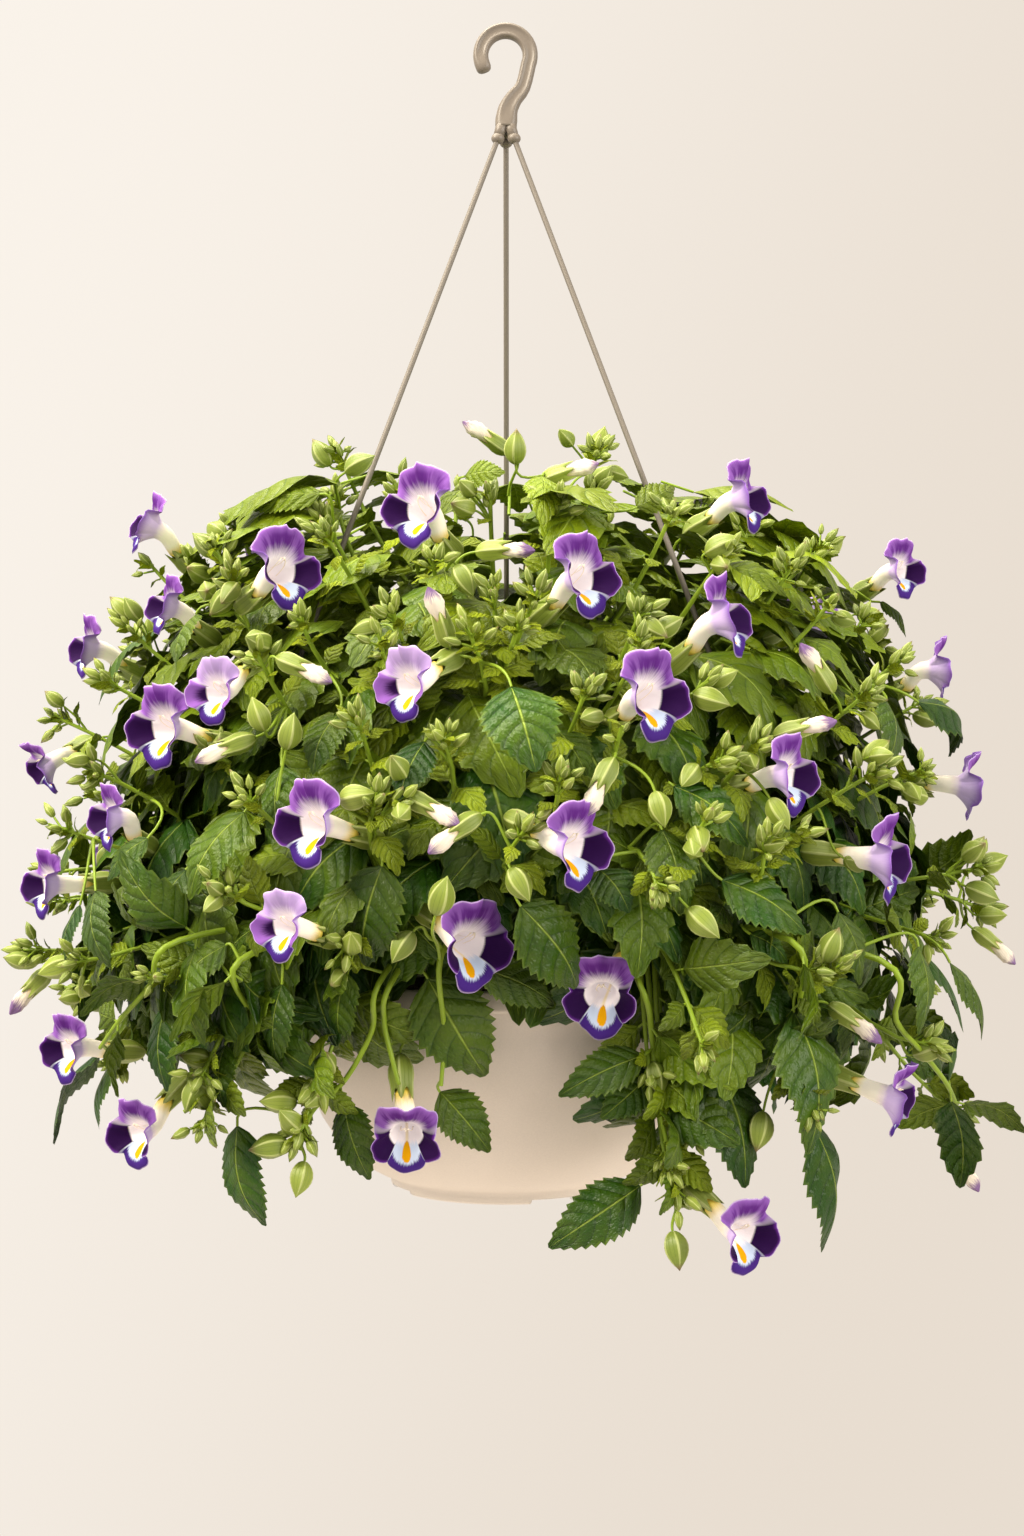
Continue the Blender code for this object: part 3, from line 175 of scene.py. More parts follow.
# Leafy shoots of the front that end in a cluster of buds, in the same terms
shoots = [
    (337, 449, 2), (214, 545, 4), (187, 588, -30), (128, 628, -26), (58, 718, -56), (257, 654, -10),
    (232, 578, 10), (494, 592, 0), (520, 622, 20), (470, 634, -24), (519, 455, 4), (597, 452, 0),
    (672, 512, 8), (444, 738, -14), (586, 690, 14), (622, 726, 4), (536, 598, 24), (392, 614, -16),
    (356, 716, -10), (730, 548, 22), (792, 566, 12), (820, 548, 24), (829, 604, 20), (896, 664, 40),
    (868, 692, 34), (760, 742, 30), (704, 684, 40), (722, 758, 60), (876, 772, 50), (924, 770, 64),
    (61, 828, -60), (36, 950, -80), (78, 962, -100), (152, 978, -80), (219, 886, -40), (202, 1076, 190),
    (204, 1124, 176), (316, 1082, 200), (300, 1134, 190), (342, 952, 214), (660, 892, 170),
    (798, 834, 46), (766, 844, -20), (812, 972, 100), (836, 968, 20), (928, 1044, 90), (962, 1112, 120),
    (650, 1078, 184), (668, 1168, 176), (678, 1206, 180), (978, 868, 70), (402, 800, 60), (376, 798, 30),
    (528, 826, 40), (494, 878, -10), (430, 902, 10), (146, 560, -20), (108, 682, -50), (560, 500, 10),
    (432, 560, -8), (640, 612, 10), (300, 620, -6), (250, 800, -30), (560, 780, 6), (706, 820, 20),
    (858, 840, 60), (640, 640, 8), (90, 770, -60), (380, 640, -4), (690, 1130, 150),
]
# Bare runners that hang over the pot: columns and rows along each
runners = [
    [(378, 985), (372, 1030), (345, 1080), (312, 1112), (300, 1150)],
    [(390, 985), (384, 1020), (392, 1058), (399, 1084)],
    [(640, 985), (652, 1040), (657, 1096), (670, 1160), (677, 1216)],
    [(880, 960), (896, 1020), (922, 1052), (948, 1086), (960, 1116)],
    [(180, 940), (150, 985), (120, 1020), (100, 1048)],
    [(240, 960), (252, 1020), (236, 1064), (214, 1092), (184, 1112)],
    [(440, 960), (444, 1030), (441, 1086)],
    [(790, 940), (800, 1010), (812, 1066), (812, 1118)],
]
# Lowest row that the inner leaves of the front may reach, at columns of the photograph
lowerEdge = [
    (20, 960), (60, 1000), (110, 1010), (160, 1050), (205, 1080), (238, 1050), (262, 992), (300, 985),
    (350, 970), (430, 985), (500, 985), (560, 985), (620, 1010), (650, 1050), (700, 1100), (760, 1110),
    (820, 1110), (860, 1050), (900, 1020), (950, 990), (1000, 900),
]


def interpolate(table, at):
    if at <= table[0][0]:
        return table[0][1]
    for (low, first), (high, second) in zip(table, table[1:]):
        if at <= high:
            return first + (second - first) * (at - low) / (high - low)
    return table[-1][1]


def smoothStep(low, high, at):
    share = min(max((at - low) / (high - low), 0), 1)
    return share * share * (3 - 2 * share)


def direction(azimuth, pitch=0.0):
    turn, rise = math.radians(azimuth), math.radians(pitch)
    return Vector((math.sin(turn) * math.cos(rise), -math.cos(turn) * math.cos(rise), math.sin(rise)))


def around(azimuth, radius, z):
    return direction(azimuth) * radius + Vector((0, 0, z))


def azimuthOf(point):
    return math.degrees(math.atan2(point.x, -point.y))


def moundRadius(azimuth, z):
    width = interpolate(mound["outline"], -z / mm) * mm
    turn = math.radians(azimuth)
    return width / math.hypot(math.sin(turn), math.cos(turn) / mound["depth"])


def pixelScale(depth):
    # metres to a pixel of the photograph, this far in front of the hanging axis
    return view["pixel"] * (view["distance"] - depth) / view["distance"]


# The middle of the photograph, in the plane of the hanging axis
viewX = (view["centreColumn"] - view["axisColumn"]) * view["pixel"]
viewZ = -(view["centreRow"] - view["hookRow"]) * view["pixel"]


def viewPoint(column, row, depth):
    # the point that stands this far in front of the hanging axis at a place of the photograph
    x = viewX + (column - view["centreColumn"]) * pixelScale(depth)
    z = viewZ - (row - view["centreRow"]) * pixelScale(depth)
    return Vector((x, -depth, z))


def frontPoint(column, row, sink=0.0):
    # the mound's front at a place of the photograph
    depth = 0.0
    limit = interpolate(mound["frontLimit"], row) * mm
    for _ in range(12):
        spot = viewPoint(column, row, depth)
        width = interpolate(mound["outline"], -spot.z / mm) * mm
        reach = mound["depth"] * math.sqrt(max(width * width - spot.x * spot.x, 0))
        depth = 0.5 * depth + 0.5 * min(reach, limit)
    return viewPoint(column, row, depth - sink)


def pixelOf(point):
    # column and row of a point in the photograph
    scale = pixelScale(-point.y)
    return view["centreColumn"] + (point.x - viewX) / scale, view["centreRow"] - (point.z - viewZ) / scale


def bezier(start, startPull, endPull, end, count):
    points = []
    for step in range(count):
        t = step / (count - 1)
        u = 1 - t
        points.append(start * u**3 + startPull * (3 * u * u * t) + endPull * (3 * u * t * t) + end * t**3)
    return points


def crossAxes(axis):
    # two directions square to an axis, the second as far upwards as it goes
    side = axis.cross(up)
    if side.length < 0.05:
        side = axis.cross(backwards)
    side.normalize()
    return side, side.cross(axis).normalized()


def rotationTo(along, normal):
    # turns a shape's Y to `along` and its Z towards `normal`
    along = along.normalized()
    normal = normal - along * normal.dot(along)
    if normal.length < 1e-4:
        normal = crossAxes(along)[1]
    normal.normalize()
    return Matrix((along.cross(normal), along, normal)).transposed().to_euler()


def onCircle(side, rise, turn):
    return side * math.cos(turn) + rise * math.sin(turn)


def screenAxis(tilt, outward, lean=0.35):
    # a direction tilted clockwise from upright in the photograph, which leans out of the mound
    turn = math.radians(tilt)
    return (Vector((math.sin(turn), 0, math.cos(turn))) + outward * lean).normalized()


def treeOf(points):
    tree = KDTree(len(points))
    for index, place in enumerate(points):
        tree.insert(place, index)
    tree.balance()
    return tree


# Objects and meshes

def addObject(name, data):
    item = bpy.data.objects.new(name, data)
    bpy.context.scene.collection.objects.link(item)
    return item


def plainMesh(name, points, edges=(), faces=()):
    mesh = bpy.data.meshes.new(name)
    mesh.from_pydata([tuple(point) for point in points], edges, faces)
    return mesh


def meshOf(name, points, faces, coordinates=None, smooth=True):
    mesh = plainMesh(name, points, (), faces)
    if coordinates:
        corners = [value for loop in mesh.loops for value in coordinates[loop.vertex_index]]
        mesh.uv_layers.new(name="UVMap").data.foreach_set("uv", corners)
    mesh.shade_smooth() if smooth else mesh.shade_flat()
    return mesh


def pointValues(mesh, label, kind, values):
    # gives each point of a mesh a value of its own
    data = mesh.attributes.new(label, kind, "POINT").data
    if kind == "FLOAT_VECTOR":
        data.foreach_set("vector", [part for value in values for part in value])
    else:
        data.foreach_set("value", values)


def settle(item):
    # what the modifiers make becomes the piece's own mesh
    scene = bpy.context.evaluated_depsgraph_get()
    mesh = bpy.data.meshes.new_from_object(item.evaluated_get(scene), depsgraph=scene)
    item.modifiers.clear()
    item.data = mesh


def declare(item, slot, *nodes):
    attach(item, "root")
    if nodes:
        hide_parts(*nodes)


def gridFaces(rows, columns, closed):
    faces = []
    for row in range(rows - 1):
        for column in range(columns if closed else columns - 1):
            after = (column + 1) % columns
            first = row * columns
            second = first + columns
            faces.append((first + column, first + after, second + after, second + column))
    return faces


def shifted(faces, first):
    # the same faces for points that come after this many others
    return [tuple(first + corner for corner in face) for face in faces]


def ringShape(name, profile, sides, swell, twist=0.0, lean=0.0):
    # a closed shape about +Y, with UV round and along. The profile holds places along and radii,
    # and swell gives what a radius is multiplied by at a turn
    points, coordinates = [], []
    for along, radius in profile:
        for step in range(sides + 1):
            turn = math.tau * step / sides + twist * along
            reach = radius * swell(along, turn)
            points.append((reach * math.sin(turn) + lean * along * along, along, reach * math.cos(turn)))
            coordinates.append((step / sides, along))
    return weld(meshOf(name, points, gridFaces(len(profile), sides + 1, False), coordinates))


def fill(mesh, bm):
    # a mesh takes over what was built in a bmesh
    bm.to_mesh(mesh)
    bm.free()
    return mesh


def weld(mesh, distance=1e-5):
    bm = bmesh.new()
    bm.from_mesh(mesh)
    bmesh.ops.remove_doubles(bm, verts=bm.verts, dist=distance)
    bmesh.ops.recalc_face_normals(bm, faces=bm.faces)
    return fill(mesh, bm)


# Node helpers

def srgb(code):
    parts = [int(code[i:i + 2], 16) / 255 for i in (0, 2, 4)]
    return (*[part / 12.92 if part <= 0.04045 else ((part + 0.055) / 1.055) ** 2.4 for part in parts], 1)


def spaced(values):
    # names given to a call, as the sockets have them
    return {label.replace("_", " "): value for label, value in values.items()}


class NodeSheet:
    # short calls for the nodes of one tree. An input is given a socket, a colour's code or a constant

    def __init__(self, tree):
        self.tree = tree

    def add(self, kind, given=None, **settings):
        node = self.tree.nodes.new(kind)
        for name, value in settings.items():
            setattr(node, name, value)
        self.feed(node, given or {})
        return node

    def feed(self, node, given):
        for name, value in given.items():
            socket = node.inputs[name]
            if isinstance(value, bpy.types.NodeSocket):
                self.tree.links.new(value, socket)
            else:
                socket.default_value = srgb(value) if socket.type == "RGBA" else value

    def give(self, node, **given):
        # feeds inputs by name, with _ for a blank
        self.feed(node, spaced(given))

    def math(self, operation, *values):
        return self.add("ShaderNodeMath", dict(enumerate(values)), operation=operation).outputs[0]

    def times(self, first, second):
        return self.math("MULTIPLY", first, second)

    def linear(self, value, slope, start):
        # start + slope * value
        return self.math("MULTIPLY_ADD", value, slope, start)

    def inverse(self, value):
        # 1 - value
        return self.math("SUBTRACT", 1.0, value)

    def absolute(self, value):
        return self.math("ABSOLUTE", value)

    def scaled(self, vector, factor):
        given = {0: vector, "Scale": factor}
        return self.add("ShaderNodeVectorMath", given, operation="SCALE").outputs[0]

    def smooth(self, value, low, high):
        given = {"Value": value, "From Min": low, "From Max": high}
        return self.add("ShaderNodeMapRange", given, interpolation_type="SMOOTHSTEP").outputs["Result"]

    def mix(self, share, first, second):
        return self.add("ShaderNodeMix", {0: share, 6: first, 7: second}, data_type="RGBA").outputs[2]

    def noise(self, vector, scale, detail=2.0, roughness=0.5):
        given = {"Vector": vector, "Scale": scale, "Detail": detail, "Roughness": roughness}
        return self.add("ShaderNodeTexNoise", given).outputs["Fac"]

    def attribute(self, name, output="Fac"):
        return self.add("ShaderNodeAttribute", attribute_name=name).outputs[output]

    def place(self, system="Object"):
        # where the shaded point is
        return self.add("ShaderNodeTexCoord").outputs[system]

    def uv(self):
        return self.add("ShaderNodeUVMap", uv_map="UVMap").outputs[0]

    def split(self, vector):
        return self.add("ShaderNodeSeparateXYZ", {0: vector}).outputs

    def joined(self, *parts):
        return self.add("ShaderNodeCombineXYZ", dict(enumerate(parts))).outputs[0]

    def group(self, tree, **given):
        return self.add("ShaderNodeGroup", spaced(given), node_tree=tree).outputs

    def bump(self, shader, height, strength, distance):
        given = {"Height": height, "Strength": strength, "Distance": distance}
        self.give(shader, Normal=self.add("ShaderNodeBump", given).outputs["Normal"])


def groupTree(kind, name, inputs, outputs):
    tree = bpy.data.node_groups.new(name, kind)
    for label, socketType, value in inputs:
        socket = tree.interface.new_socket(label, in_out="INPUT", socket_type="NodeSocket" + socketType)
        if value is not None:
            socket.default_value = value
    for label, socketType in outputs:
        tree.interface.new_socket(label, in_out="OUTPUT", socket_type="NodeSocket" + socketType)
    sheet = NodeSheet(tree)
    return tree, sheet, sheet.add("NodeGroupInput").outputs, sheet.add("NodeGroupOutput")


def newLook(name, roughness, **constants):
    look = bpy.data.materials.new(name)
    look.use_nodes = True
    sheet = NodeSheet(look.node_tree)
    shader = look.node_tree.nodes["Principled BSDF"]
    sheet.give(shader, Roughness=roughness, **constants)
    return look, sheet, shader


# Shared effects

def mottleGroup():
    # patches of lighter and darker colour, and a fine grain, over Object coordinates
    tree, sheet, given, result = groupTree(
        "ShaderNodeTree", "mottle",
        [("Colour", "Color", (0.5, 0.5, 0.5, 1)), ("Patch Size", "Float", 20.0), ("Contrast", "Float", 0.2),
         ("Grain Size", "Float", 900.0), ("Grain Contrast", "Float", 0.12)],
        [("Colour", "Color"), ("Grain", "Float")],
    )
    patches = sheet.noise(sheet.place(), given["Patch Size"], 4.0, 0.6)
    grain = sheet.noise(sheet.place(), given["Grain Size"])
    level = sheet.linear(sheet.math("SUBTRACT", patches, 0.5), given["Contrast"], 1.0)
    level = sheet.linear(sheet.math("SUBTRACT", grain, 0.5), given["Grain Contrast"], level)
    sheet.give(result, Colour=sheet.scaled(given["Colour"], level), Grain=grain)
    return tree


def leafVeinGroup():
    # a leaf's midrib, side veins and quilting from its UV: U across, V from the base to the tip
    tree, sheet, given, result = groupTree(
        "ShaderNodeTree", "leafVeins", [("Side Veins", "Float", 6.0), ("Forward Curve", "Float", 0.24)],
        [(label, "Float") for label in ("Midrib", "Veins", "Height", "Margin")],
    )
    place = sheet.split(sheet.uv())
    across = sheet.absolute(sheet.linear(place[0], 2.0, -1.0))
    bend = sheet.times(sheet.math("POWER", across, 1.3), given["Forward Curve"])
    phase = sheet.times(sheet.math("SUBTRACT", place[1], bend), given["Side Veins"])
    lane = sheet.absolute(sheet.math("SUBTRACT", sheet.math("FRACT", phase), 0.5))
    midrib = sheet.inverse(sheet.smooth(across, 0.012, 0.055))
    ripple = sheet.times(sheet.noise(sheet.uv(), 17.0), 0.8)
    quilt = sheet.linear(sheet.times(lane, lane), -2.4, ripple)
    sheet.give(result, Midrib=midrib, Veins=sheet.smooth(lane, 0.41, 0.5),
               Height=sheet.linear(midrib, -0.5, quilt), Margin=sheet.smooth(across, 0.86, 1.0))
    return tree


def petalVeinGroup():
    # radial streaks and soft clouds over a lobe's UV, and the place along and across it
    tree, sheet, given, result = groupTree(
        "ShaderNodeTree", "petalVeins", [("Lanes", "Float", 11.0)],
        [(label, "Float") for label in ("Across", "Along", "Streaks", "Clouds")],
    )
    across, along, _ = sheet.split(sheet.uv())
    lanes = sheet.joined(sheet.times(across, given["Lanes"]), sheet.times(along, 0.9))
    streaks = sheet.math("SUBTRACT", sheet.noise(lanes, 4.0, 3.0, 0.6), 0.5)
    wide = sheet.joined(sheet.times(across, 3.4), sheet.times(along, 0.7))
    sheet.give(result, Across=sheet.linear(across, 2.0, -1.0), Along=along, Streaks=streaks,
               Clouds=sheet.noise(wide, 3.0, 1.0))
    return tree


mottle = mottleGroup()
leafVeins = leafVeinGroup()
petalVeins = petalVeinGroup()


# Materials

leafColours = {
    "deep": "224607",
    "fresh": "A0B016",
    "midrib": "98AE42",
    # the grooves of the side veins: darker greens, painted shade in the sunken veins
    "veinShadeDeep": "15340B",
    "veinShadeFresh": "6C8C16",
    "roughness": 0.4,
    # glow: a weak glow of the leaves' own colour, painted light let through them, stronger for higher tones
    "glow": 0.06,
}


def leafLook():
    look, sheet, shader = newLook("satinLeaf", leafColours["roughness"], Specular_IOR_Level=0.3)
    lines = sheet.group(leafVeins)
    cloud = sheet.linear(sheet.noise(sheet.place(), 55.0, 3.0, 0.6), 0.3, -0.15)
    # The tone mixes deep into fresh green. Its rise towards the top of the mound is partly fresh growth,
    # partly painted light through the backlit top leaves
    warmth = sheet.math("ADD", sheet.attribute("tone"), cloud)
    warmth = sheet.math("MINIMUM", sheet.math("MAXIMUM", warmth, 0.0), 1.0)
    colour = sheet.mix(warmth, leafColours["deep"], leafColours["fresh"])
    # the side veins get darker greens: painted shade in their sunken grooves
    groove = sheet.mix(warmth, leafColours["veinShadeDeep"], leafColours["veinShadeFresh"])
    colour = sheet.mix(sheet.times(lines["Veins"], 0.7), colour, groove)
    colour = sheet.mix(sheet.times(lines["Midrib"], 0.6), colour, leafColours["midrib"])
    colour = sheet.mix(sheet.times(lines["Margin"], 0.15), colour, leafColours["midrib"])
    shaded = sheet.scaled(colour, sheet.linear(sheet.attribute("shade"), 0.5, 0.75))
    # The emission is painted light: a glow of the leaf's own colour, scaled by the tone, stands for light let
    # through the leaves
    sheet.give(shader, Base_Color=shaded, Emission_Color=sheet.scaled(shaded, warmth),
               Emission_Strength=leafColours["glow"])
    sheet.bump(shader, lines["Height"], 0.9, 0.0018)
    return look


podColours = {
    "deep": "63752A",
    "fresh": "8C9C3C",
    "nerve": "566E20",
    "rib": "BFC880",
    "brownTip": "6B4A3E",
}


def podLook():
    # ribbed pods, calyces and buds: UV runs round and along, and some tips are brown
    look, sheet, shader = newLook("ribbedPod", 0.45, Specular_IOR_Level=0.4)
    place = sheet.split(sheet.uv())
    ribs = sheet.absolute(sheet.math("COSINE", sheet.times(place[0], 5 * math.pi)))
    ribs = sheet.smooth(ribs, 0.92, 1.0)
    nerves = sheet.absolute(sheet.math("SINE", sheet.times(place[0], 15 * math.pi)))
    nerves = sheet.inverse(sheet.smooth(nerves, 0.0, 0.35))
    brown = sheet.smooth(sheet.attribute("shade"), 0.62, 0.8)
    brown = sheet.times(sheet.smooth(place[1], 0.78, 0.98), brown)
    colour = sheet.mix(sheet.attribute("tone"), podColours["deep"], podColours["fresh"])
    colour = sheet.mix(sheet.times(nerves, 0.5), colour, podColours["nerve"])
    colour = sheet.mix(sheet.times(ribs, 0.7), colour, podColours["rib"])
    colour = sheet.mix(sheet.times(brown, 0.75), colour, podColours["brownTip"])
    sheet.give(shader, Base_Color=colour)
    sheet.bump(shader, sheet.linear(nerves, -0.4, ribs), 0.35, 0.0008)
    return look


petalColours = {
    "throat": "F6F0F3",
    "tube": "F6EEDC",
    # deep in the tube a greyer colour: painted shade
    "tubeDepthShade": "E8DCD2",
    "tubeBase": "E2C648",
    "upper": "8254A4",
    "upperDeep": "562478",
    "lateral": "24063A",
    "lateralRim": "5A2482",
    "lower": "3E2274",
    "lowerInner": "C3D2EA",
    "path": "F0DC9A",
    "blotch": "DE9E00",
    "margin": "C8B5DE",
    "outside": "C3ADDB",
    "outsideRim": "7F58AC",
    "folded": "E6DCCB",
    "foldedBase": "DDC46A",
    "foldedEnd": "745488",
    "stamen": "F3E7D0",
    # Petals let light through, which a weak glow of their own colour stands for
    "glow": 0.1,
    "backGlow": 0.2,
}


def petalFaceLook():
    # the zone tells the lobe: upper, side or lower. Along runs from 0 at the tube's base to 1 at the rim
    look, sheet, shader = newLook("petalFace", 0.7, Specular_IOR_Level=0.08)
    lines = sheet.group(petalVeins)
    turn, along, streaks = lines["Across"], lines["Along"], lines["Streaks"]
    upper, side, lower = sheet.split(sheet.attribute("zone", "Vector"))
    faded = sheet.attribute("faded")
    curve = sheet.times(turn, turn)
    radial = sheet.linear(streaks, 0.2, along)
    crisp = sheet.linear(streaks, 0.03, along)
    # from the greyer colour deep in the tube, painted shade, to the white throat
    colour = sheet.mix(sheet.smooth(along, 0.0, 0.3), petalColours["tubeDepthShade"], petalColours["throat"])

    centred = sheet.inverse(sheet.smooth(sheet.absolute(turn), 0.15, 0.95))
    depth = sheet.linear(lines["Clouds"], 1.1, sheet.times(centred, 0.4))
    depth = sheet.smooth(sheet.linear(streaks, 0.5, depth), 0.5, 1.0)
    violet = sheet.mix(depth, petalColours["upper"], petalColours["upperDeep"])
    violet = sheet.mix(sheet.smooth(along, 0.84, 1.0), violet, petalColours["upper"])
    violet = sheet.mix(sheet.times(faded, 0.5), violet, petalColours["margin"])
    colour = sheet.mix(sheet.times(sheet.smooth(radial, 0.42, 0.76), upper), colour, violet)

    edge = sheet.smooth(sheet.linear(curve, -0.05, crisp), 0.5, 0.545)
    rim = sheet.smooth(sheet.linear(curve, 0.05, along), 0.91, 1.03)
    velvet = sheet.mix(rim, petalColours["lateral"], petalColours["lateralRim"])
    worn = sheet.times(sheet.smooth(sheet.linear(curve, 0.2, radial), 0.62, 0.85), faded)
    velvet = sheet.mix(worn, velvet, petalColours["upper"])
    colour = sheet.mix(sheet.times(edge, side), colour, velvet)

    pale = sheet.times(sheet.smooth(radial, 0.42, 0.56), lower)
    colour = sheet.mix(pale, colour, petalColours["lowerInner"])
    path = sheet.inverse(sheet.smooth(sheet.absolute(turn), 0.0, 0.3))
    path = sheet.times(path, sheet.inverse(sheet.smooth(along, 0.4, 0.6)))
    path = sheet.times(sheet.times(path, lower), 0.7)
    colour = sheet.mix(path, colour, petalColours["path"])
    band = sheet.times(sheet.smooth(sheet.linear(curve, 0.12, radial), 0.76, 0.84), lower)
    colour = sheet.mix(band, colour, petalColours["lower"])
    wide = sheet.times(turn, 3.5)
    long = sheet.times(sheet.math("SUBTRACT", along, 0.6), 5.6)
    reach = sheet.math("ADD", sheet.times(wide, wide), sheet.times(long, long))
    blotch = sheet.inverse(sheet.smooth(sheet.linear(streaks, 0.8, reach), 0.75, 1.0))
    blotch = sheet.times(blotch, sheet.smooth(lower, 0.5, 0.9))
    colour = sheet.mix(blotch, colour, petalColours["blotch"])

    margin = sheet.times(sheet.smooth(along, 0.97, 1.0), 0.75)
    colour = sheet.mix(margin, colour, petalColours["margin"])
    sheet.give(shader, Base_Color=colour, Emission_Color=colour, Emission_Strength=petalColours["glow"])
    sheet.bump(shader, streaks, 0.3, 0.0006)
    return look


def petalBackLook():
    look, sheet, shader = newLook("petalBack", 0.6, Specular_IOR_Level=0.25)
    lines = sheet.group(petalVeins)
    along = sheet.linear(lines["Streaks"], 0.1, lines["Along"])
    colour = sheet.mix(sheet.smooth(along, 0.05, 0.2), petalColours["tubeBase"], petalColours["tube"])
    colour = sheet.mix(sheet.smooth(along, 0.3, 0.5), colour, petalColours["outside"])
    colour = sheet.mix(sheet.smooth(along, 0.62, 1.0), colour, petalColours["outsideRim"])
    sheet.give(shader, Base_Color=colour, Emission_Color=colour, Emission_Strength=petalColours["backGlow"])
    sheet.bump(shader, lines["Streaks"], 0.2, 0.0006)
    return look


def foldedLook():
    # folded corollas: cream, with a violet, crumpled end
    look, sheet, shader = newLook("foldedPetal", 0.6, Sheen_Weight=0.05)
    lines = sheet.group(petalVeins, Lanes=9.0)
    along = sheet.linear(lines["Streaks"], 0.6, lines["Along"])
    colour = sheet.mix(sheet.smooth(along, 0.1, 0.4), petalColours["foldedBase"], petalColours["folded"])
    start = sheet.linear(sheet.attribute("shade"), -0.3, 0.72)
    violet = sheet.smooth(along, start, sheet.math("ADD", start, 0.3))
    sheet.give(shader, Base_Color=sheet.mix(violet, colour, petalColours["foldedEnd"]))
    sheet.bump(shader, lines["Streaks"], 0.4, 0.001)
    return look


def mottledLook(name, colour, roughness, strength, depth, specular=0.5, **mottling):
    # a plain finish with soft patches and a fine grain, which a bump of this depth raises
    look, sheet, shader = newLook(name, roughness, Specular_IOR_Level=specular)
    made = sheet.group(mottle, Colour=colour, **mottling)
    sheet.give(shader, Base_Color=made["Colour"])
    sheet.bump(shader, made["Grain"], strength, depth)
    return look


plastic = {"Patch_Size": 14.0, "Contrast": 0.12, "Grain_Size": 1100.0}
looks = {
    "leaf": leafLook(),
    "stem": mottledLook("greenStem", "809A26", 0.42, 0.15, 0.0004, 0.35, Patch_Size=30.0, Contrast=0.5),
    "pod": podLook(),
    "petalFace": petalFaceLook(),
    "petalBack": petalBackLook(),
    "stamen": newLook("paleAnther", 0.5, Base_Color=petalColours["stamen"])[0],
    "folded": foldedLook(),
    "pot": mottledLook("creamPlastic", "E2D8CD", 0.5, 0.06, 0.0003, **plastic),
    "hook": mottledLook("greyPlastic", "756C62", 0.42, 0.02, 0.0003, Grain_Contrast=0.03, **plastic),
    "wire": mottledLook("coatedWire", "716A61", 0.55, 0.01, 0.0003, Grain_Contrast=0.02, **plastic),
    "soil": mottledLook("pottingSoil", "3B2A20", 0.95, 1.0, 0.002, Patch_Size=260.0, Contrast=1.4),
}
print("materials are ready")


# Geometry node trees

def geometryTree(name, *inputs):
    # a tree that also takes the modifier's geometry and the material
    first, last = ("Geometry", "Geometry", None), ("Material", "Material", None)
    return groupTree("GeometryNodeTree", name, [first, *inputs, last], [("Geometry", "Geometry")])


def named(sheet, name, kind):
    return sheet.add("GeometryNodeInputNamedAttribute", {"Name": name}, data_type=kind).outputs["Attribute"]


def endWith(sheet, geometry, given, result):
    realized = sheet.add("GeometryNodeRealizeInstances", {0: geometry}).outputs[0]
    painted = sheet.add("GeometryNodeSetMaterial", {"Geometry": realized, "Material": given["Material"]})
    sheet.give(result, Geometry=painted.outputs[0])


def pointsTree():
    # sets one of a collection's shapes on each point, turned and sized by the point's own values
    tree, sheet, given, result = geometryTree(
        "shapesOnPoints", ("Shapes", "Collection", None), ("Size", "Float", 1.0),
        ("Size Spread", "Float", 0.04), ("Seed", "Int", 5),
    )
    shapes = sheet.add("GeometryNodeCollectionInfo", {
        "Collection": given["Shapes"], "Separate Children": True, "Reset Children": True,
    })
    turned = sheet.add("FunctionNodeEulerToRotation", {0: named(sheet, "turned", "FLOAT_VECTOR")})
    low = sheet.math("SUBTRACT", given["Size"], given["Size Spread"])
    high = sheet.math("ADD", given["Size"], given["Size Spread"])
    # The float range of Random Value is its third and fourth input and its second output
    spread = sheet.add("FunctionNodeRandomValue", {2: low, 3: high, "Seed": given["Seed"]}, data_type="FLOAT")
    placed = sheet.add("GeometryNodeInstanceOnPoints", {
        "Points": given["Geometry"], "Instance": shapes.outputs[0], "Pick Instance": True,
        "Instance Index": named(sheet, "kind", "INT"), "Rotation": turned.outputs[0],
        "Scale": sheet.scaled(named(sheet, "sized", "FLOAT_VECTOR"), spread.outputs[1]),
    })
    endWith(sheet, placed.outputs[0], given, result)
    return tree


def pathsTree():
    # a round stem along each chain of edges, as thick as its points say
    tree, sheet, given, result = geometryTree(
        "stemsOnPaths", ("Sides", "Int", 6), ("Thickness", "Float", 1.0),
    )
    curve = sheet.add("GeometryNodeMeshToCurve", {"Mesh": given["Geometry"]}).outputs[0]
    radius = sheet.times(named(sheet, "thick", "FLOAT"), given["Thickness"])
    sized = sheet.add("GeometryNodeSetCurveRadius", {"Curve": curve, "Radius": radius})
    profile = sheet.add("GeometryNodeCurvePrimitiveCircle", {"Resolution": given["Sides"], "Radius": 1.0})
    swept = sheet.add("GeometryNodeCurveToMesh", {
        "Curve": sized.outputs[0], "Profile Curve": profile.outputs[0], "Fill Caps": True,
        "Scale": radius,
    })
    smooth = sheet.add("GeometryNodeSetShadeSmooth", {0: swept.outputs[0]})
    endWith(sheet, smooth.outputs[0], given, result)
    return tree


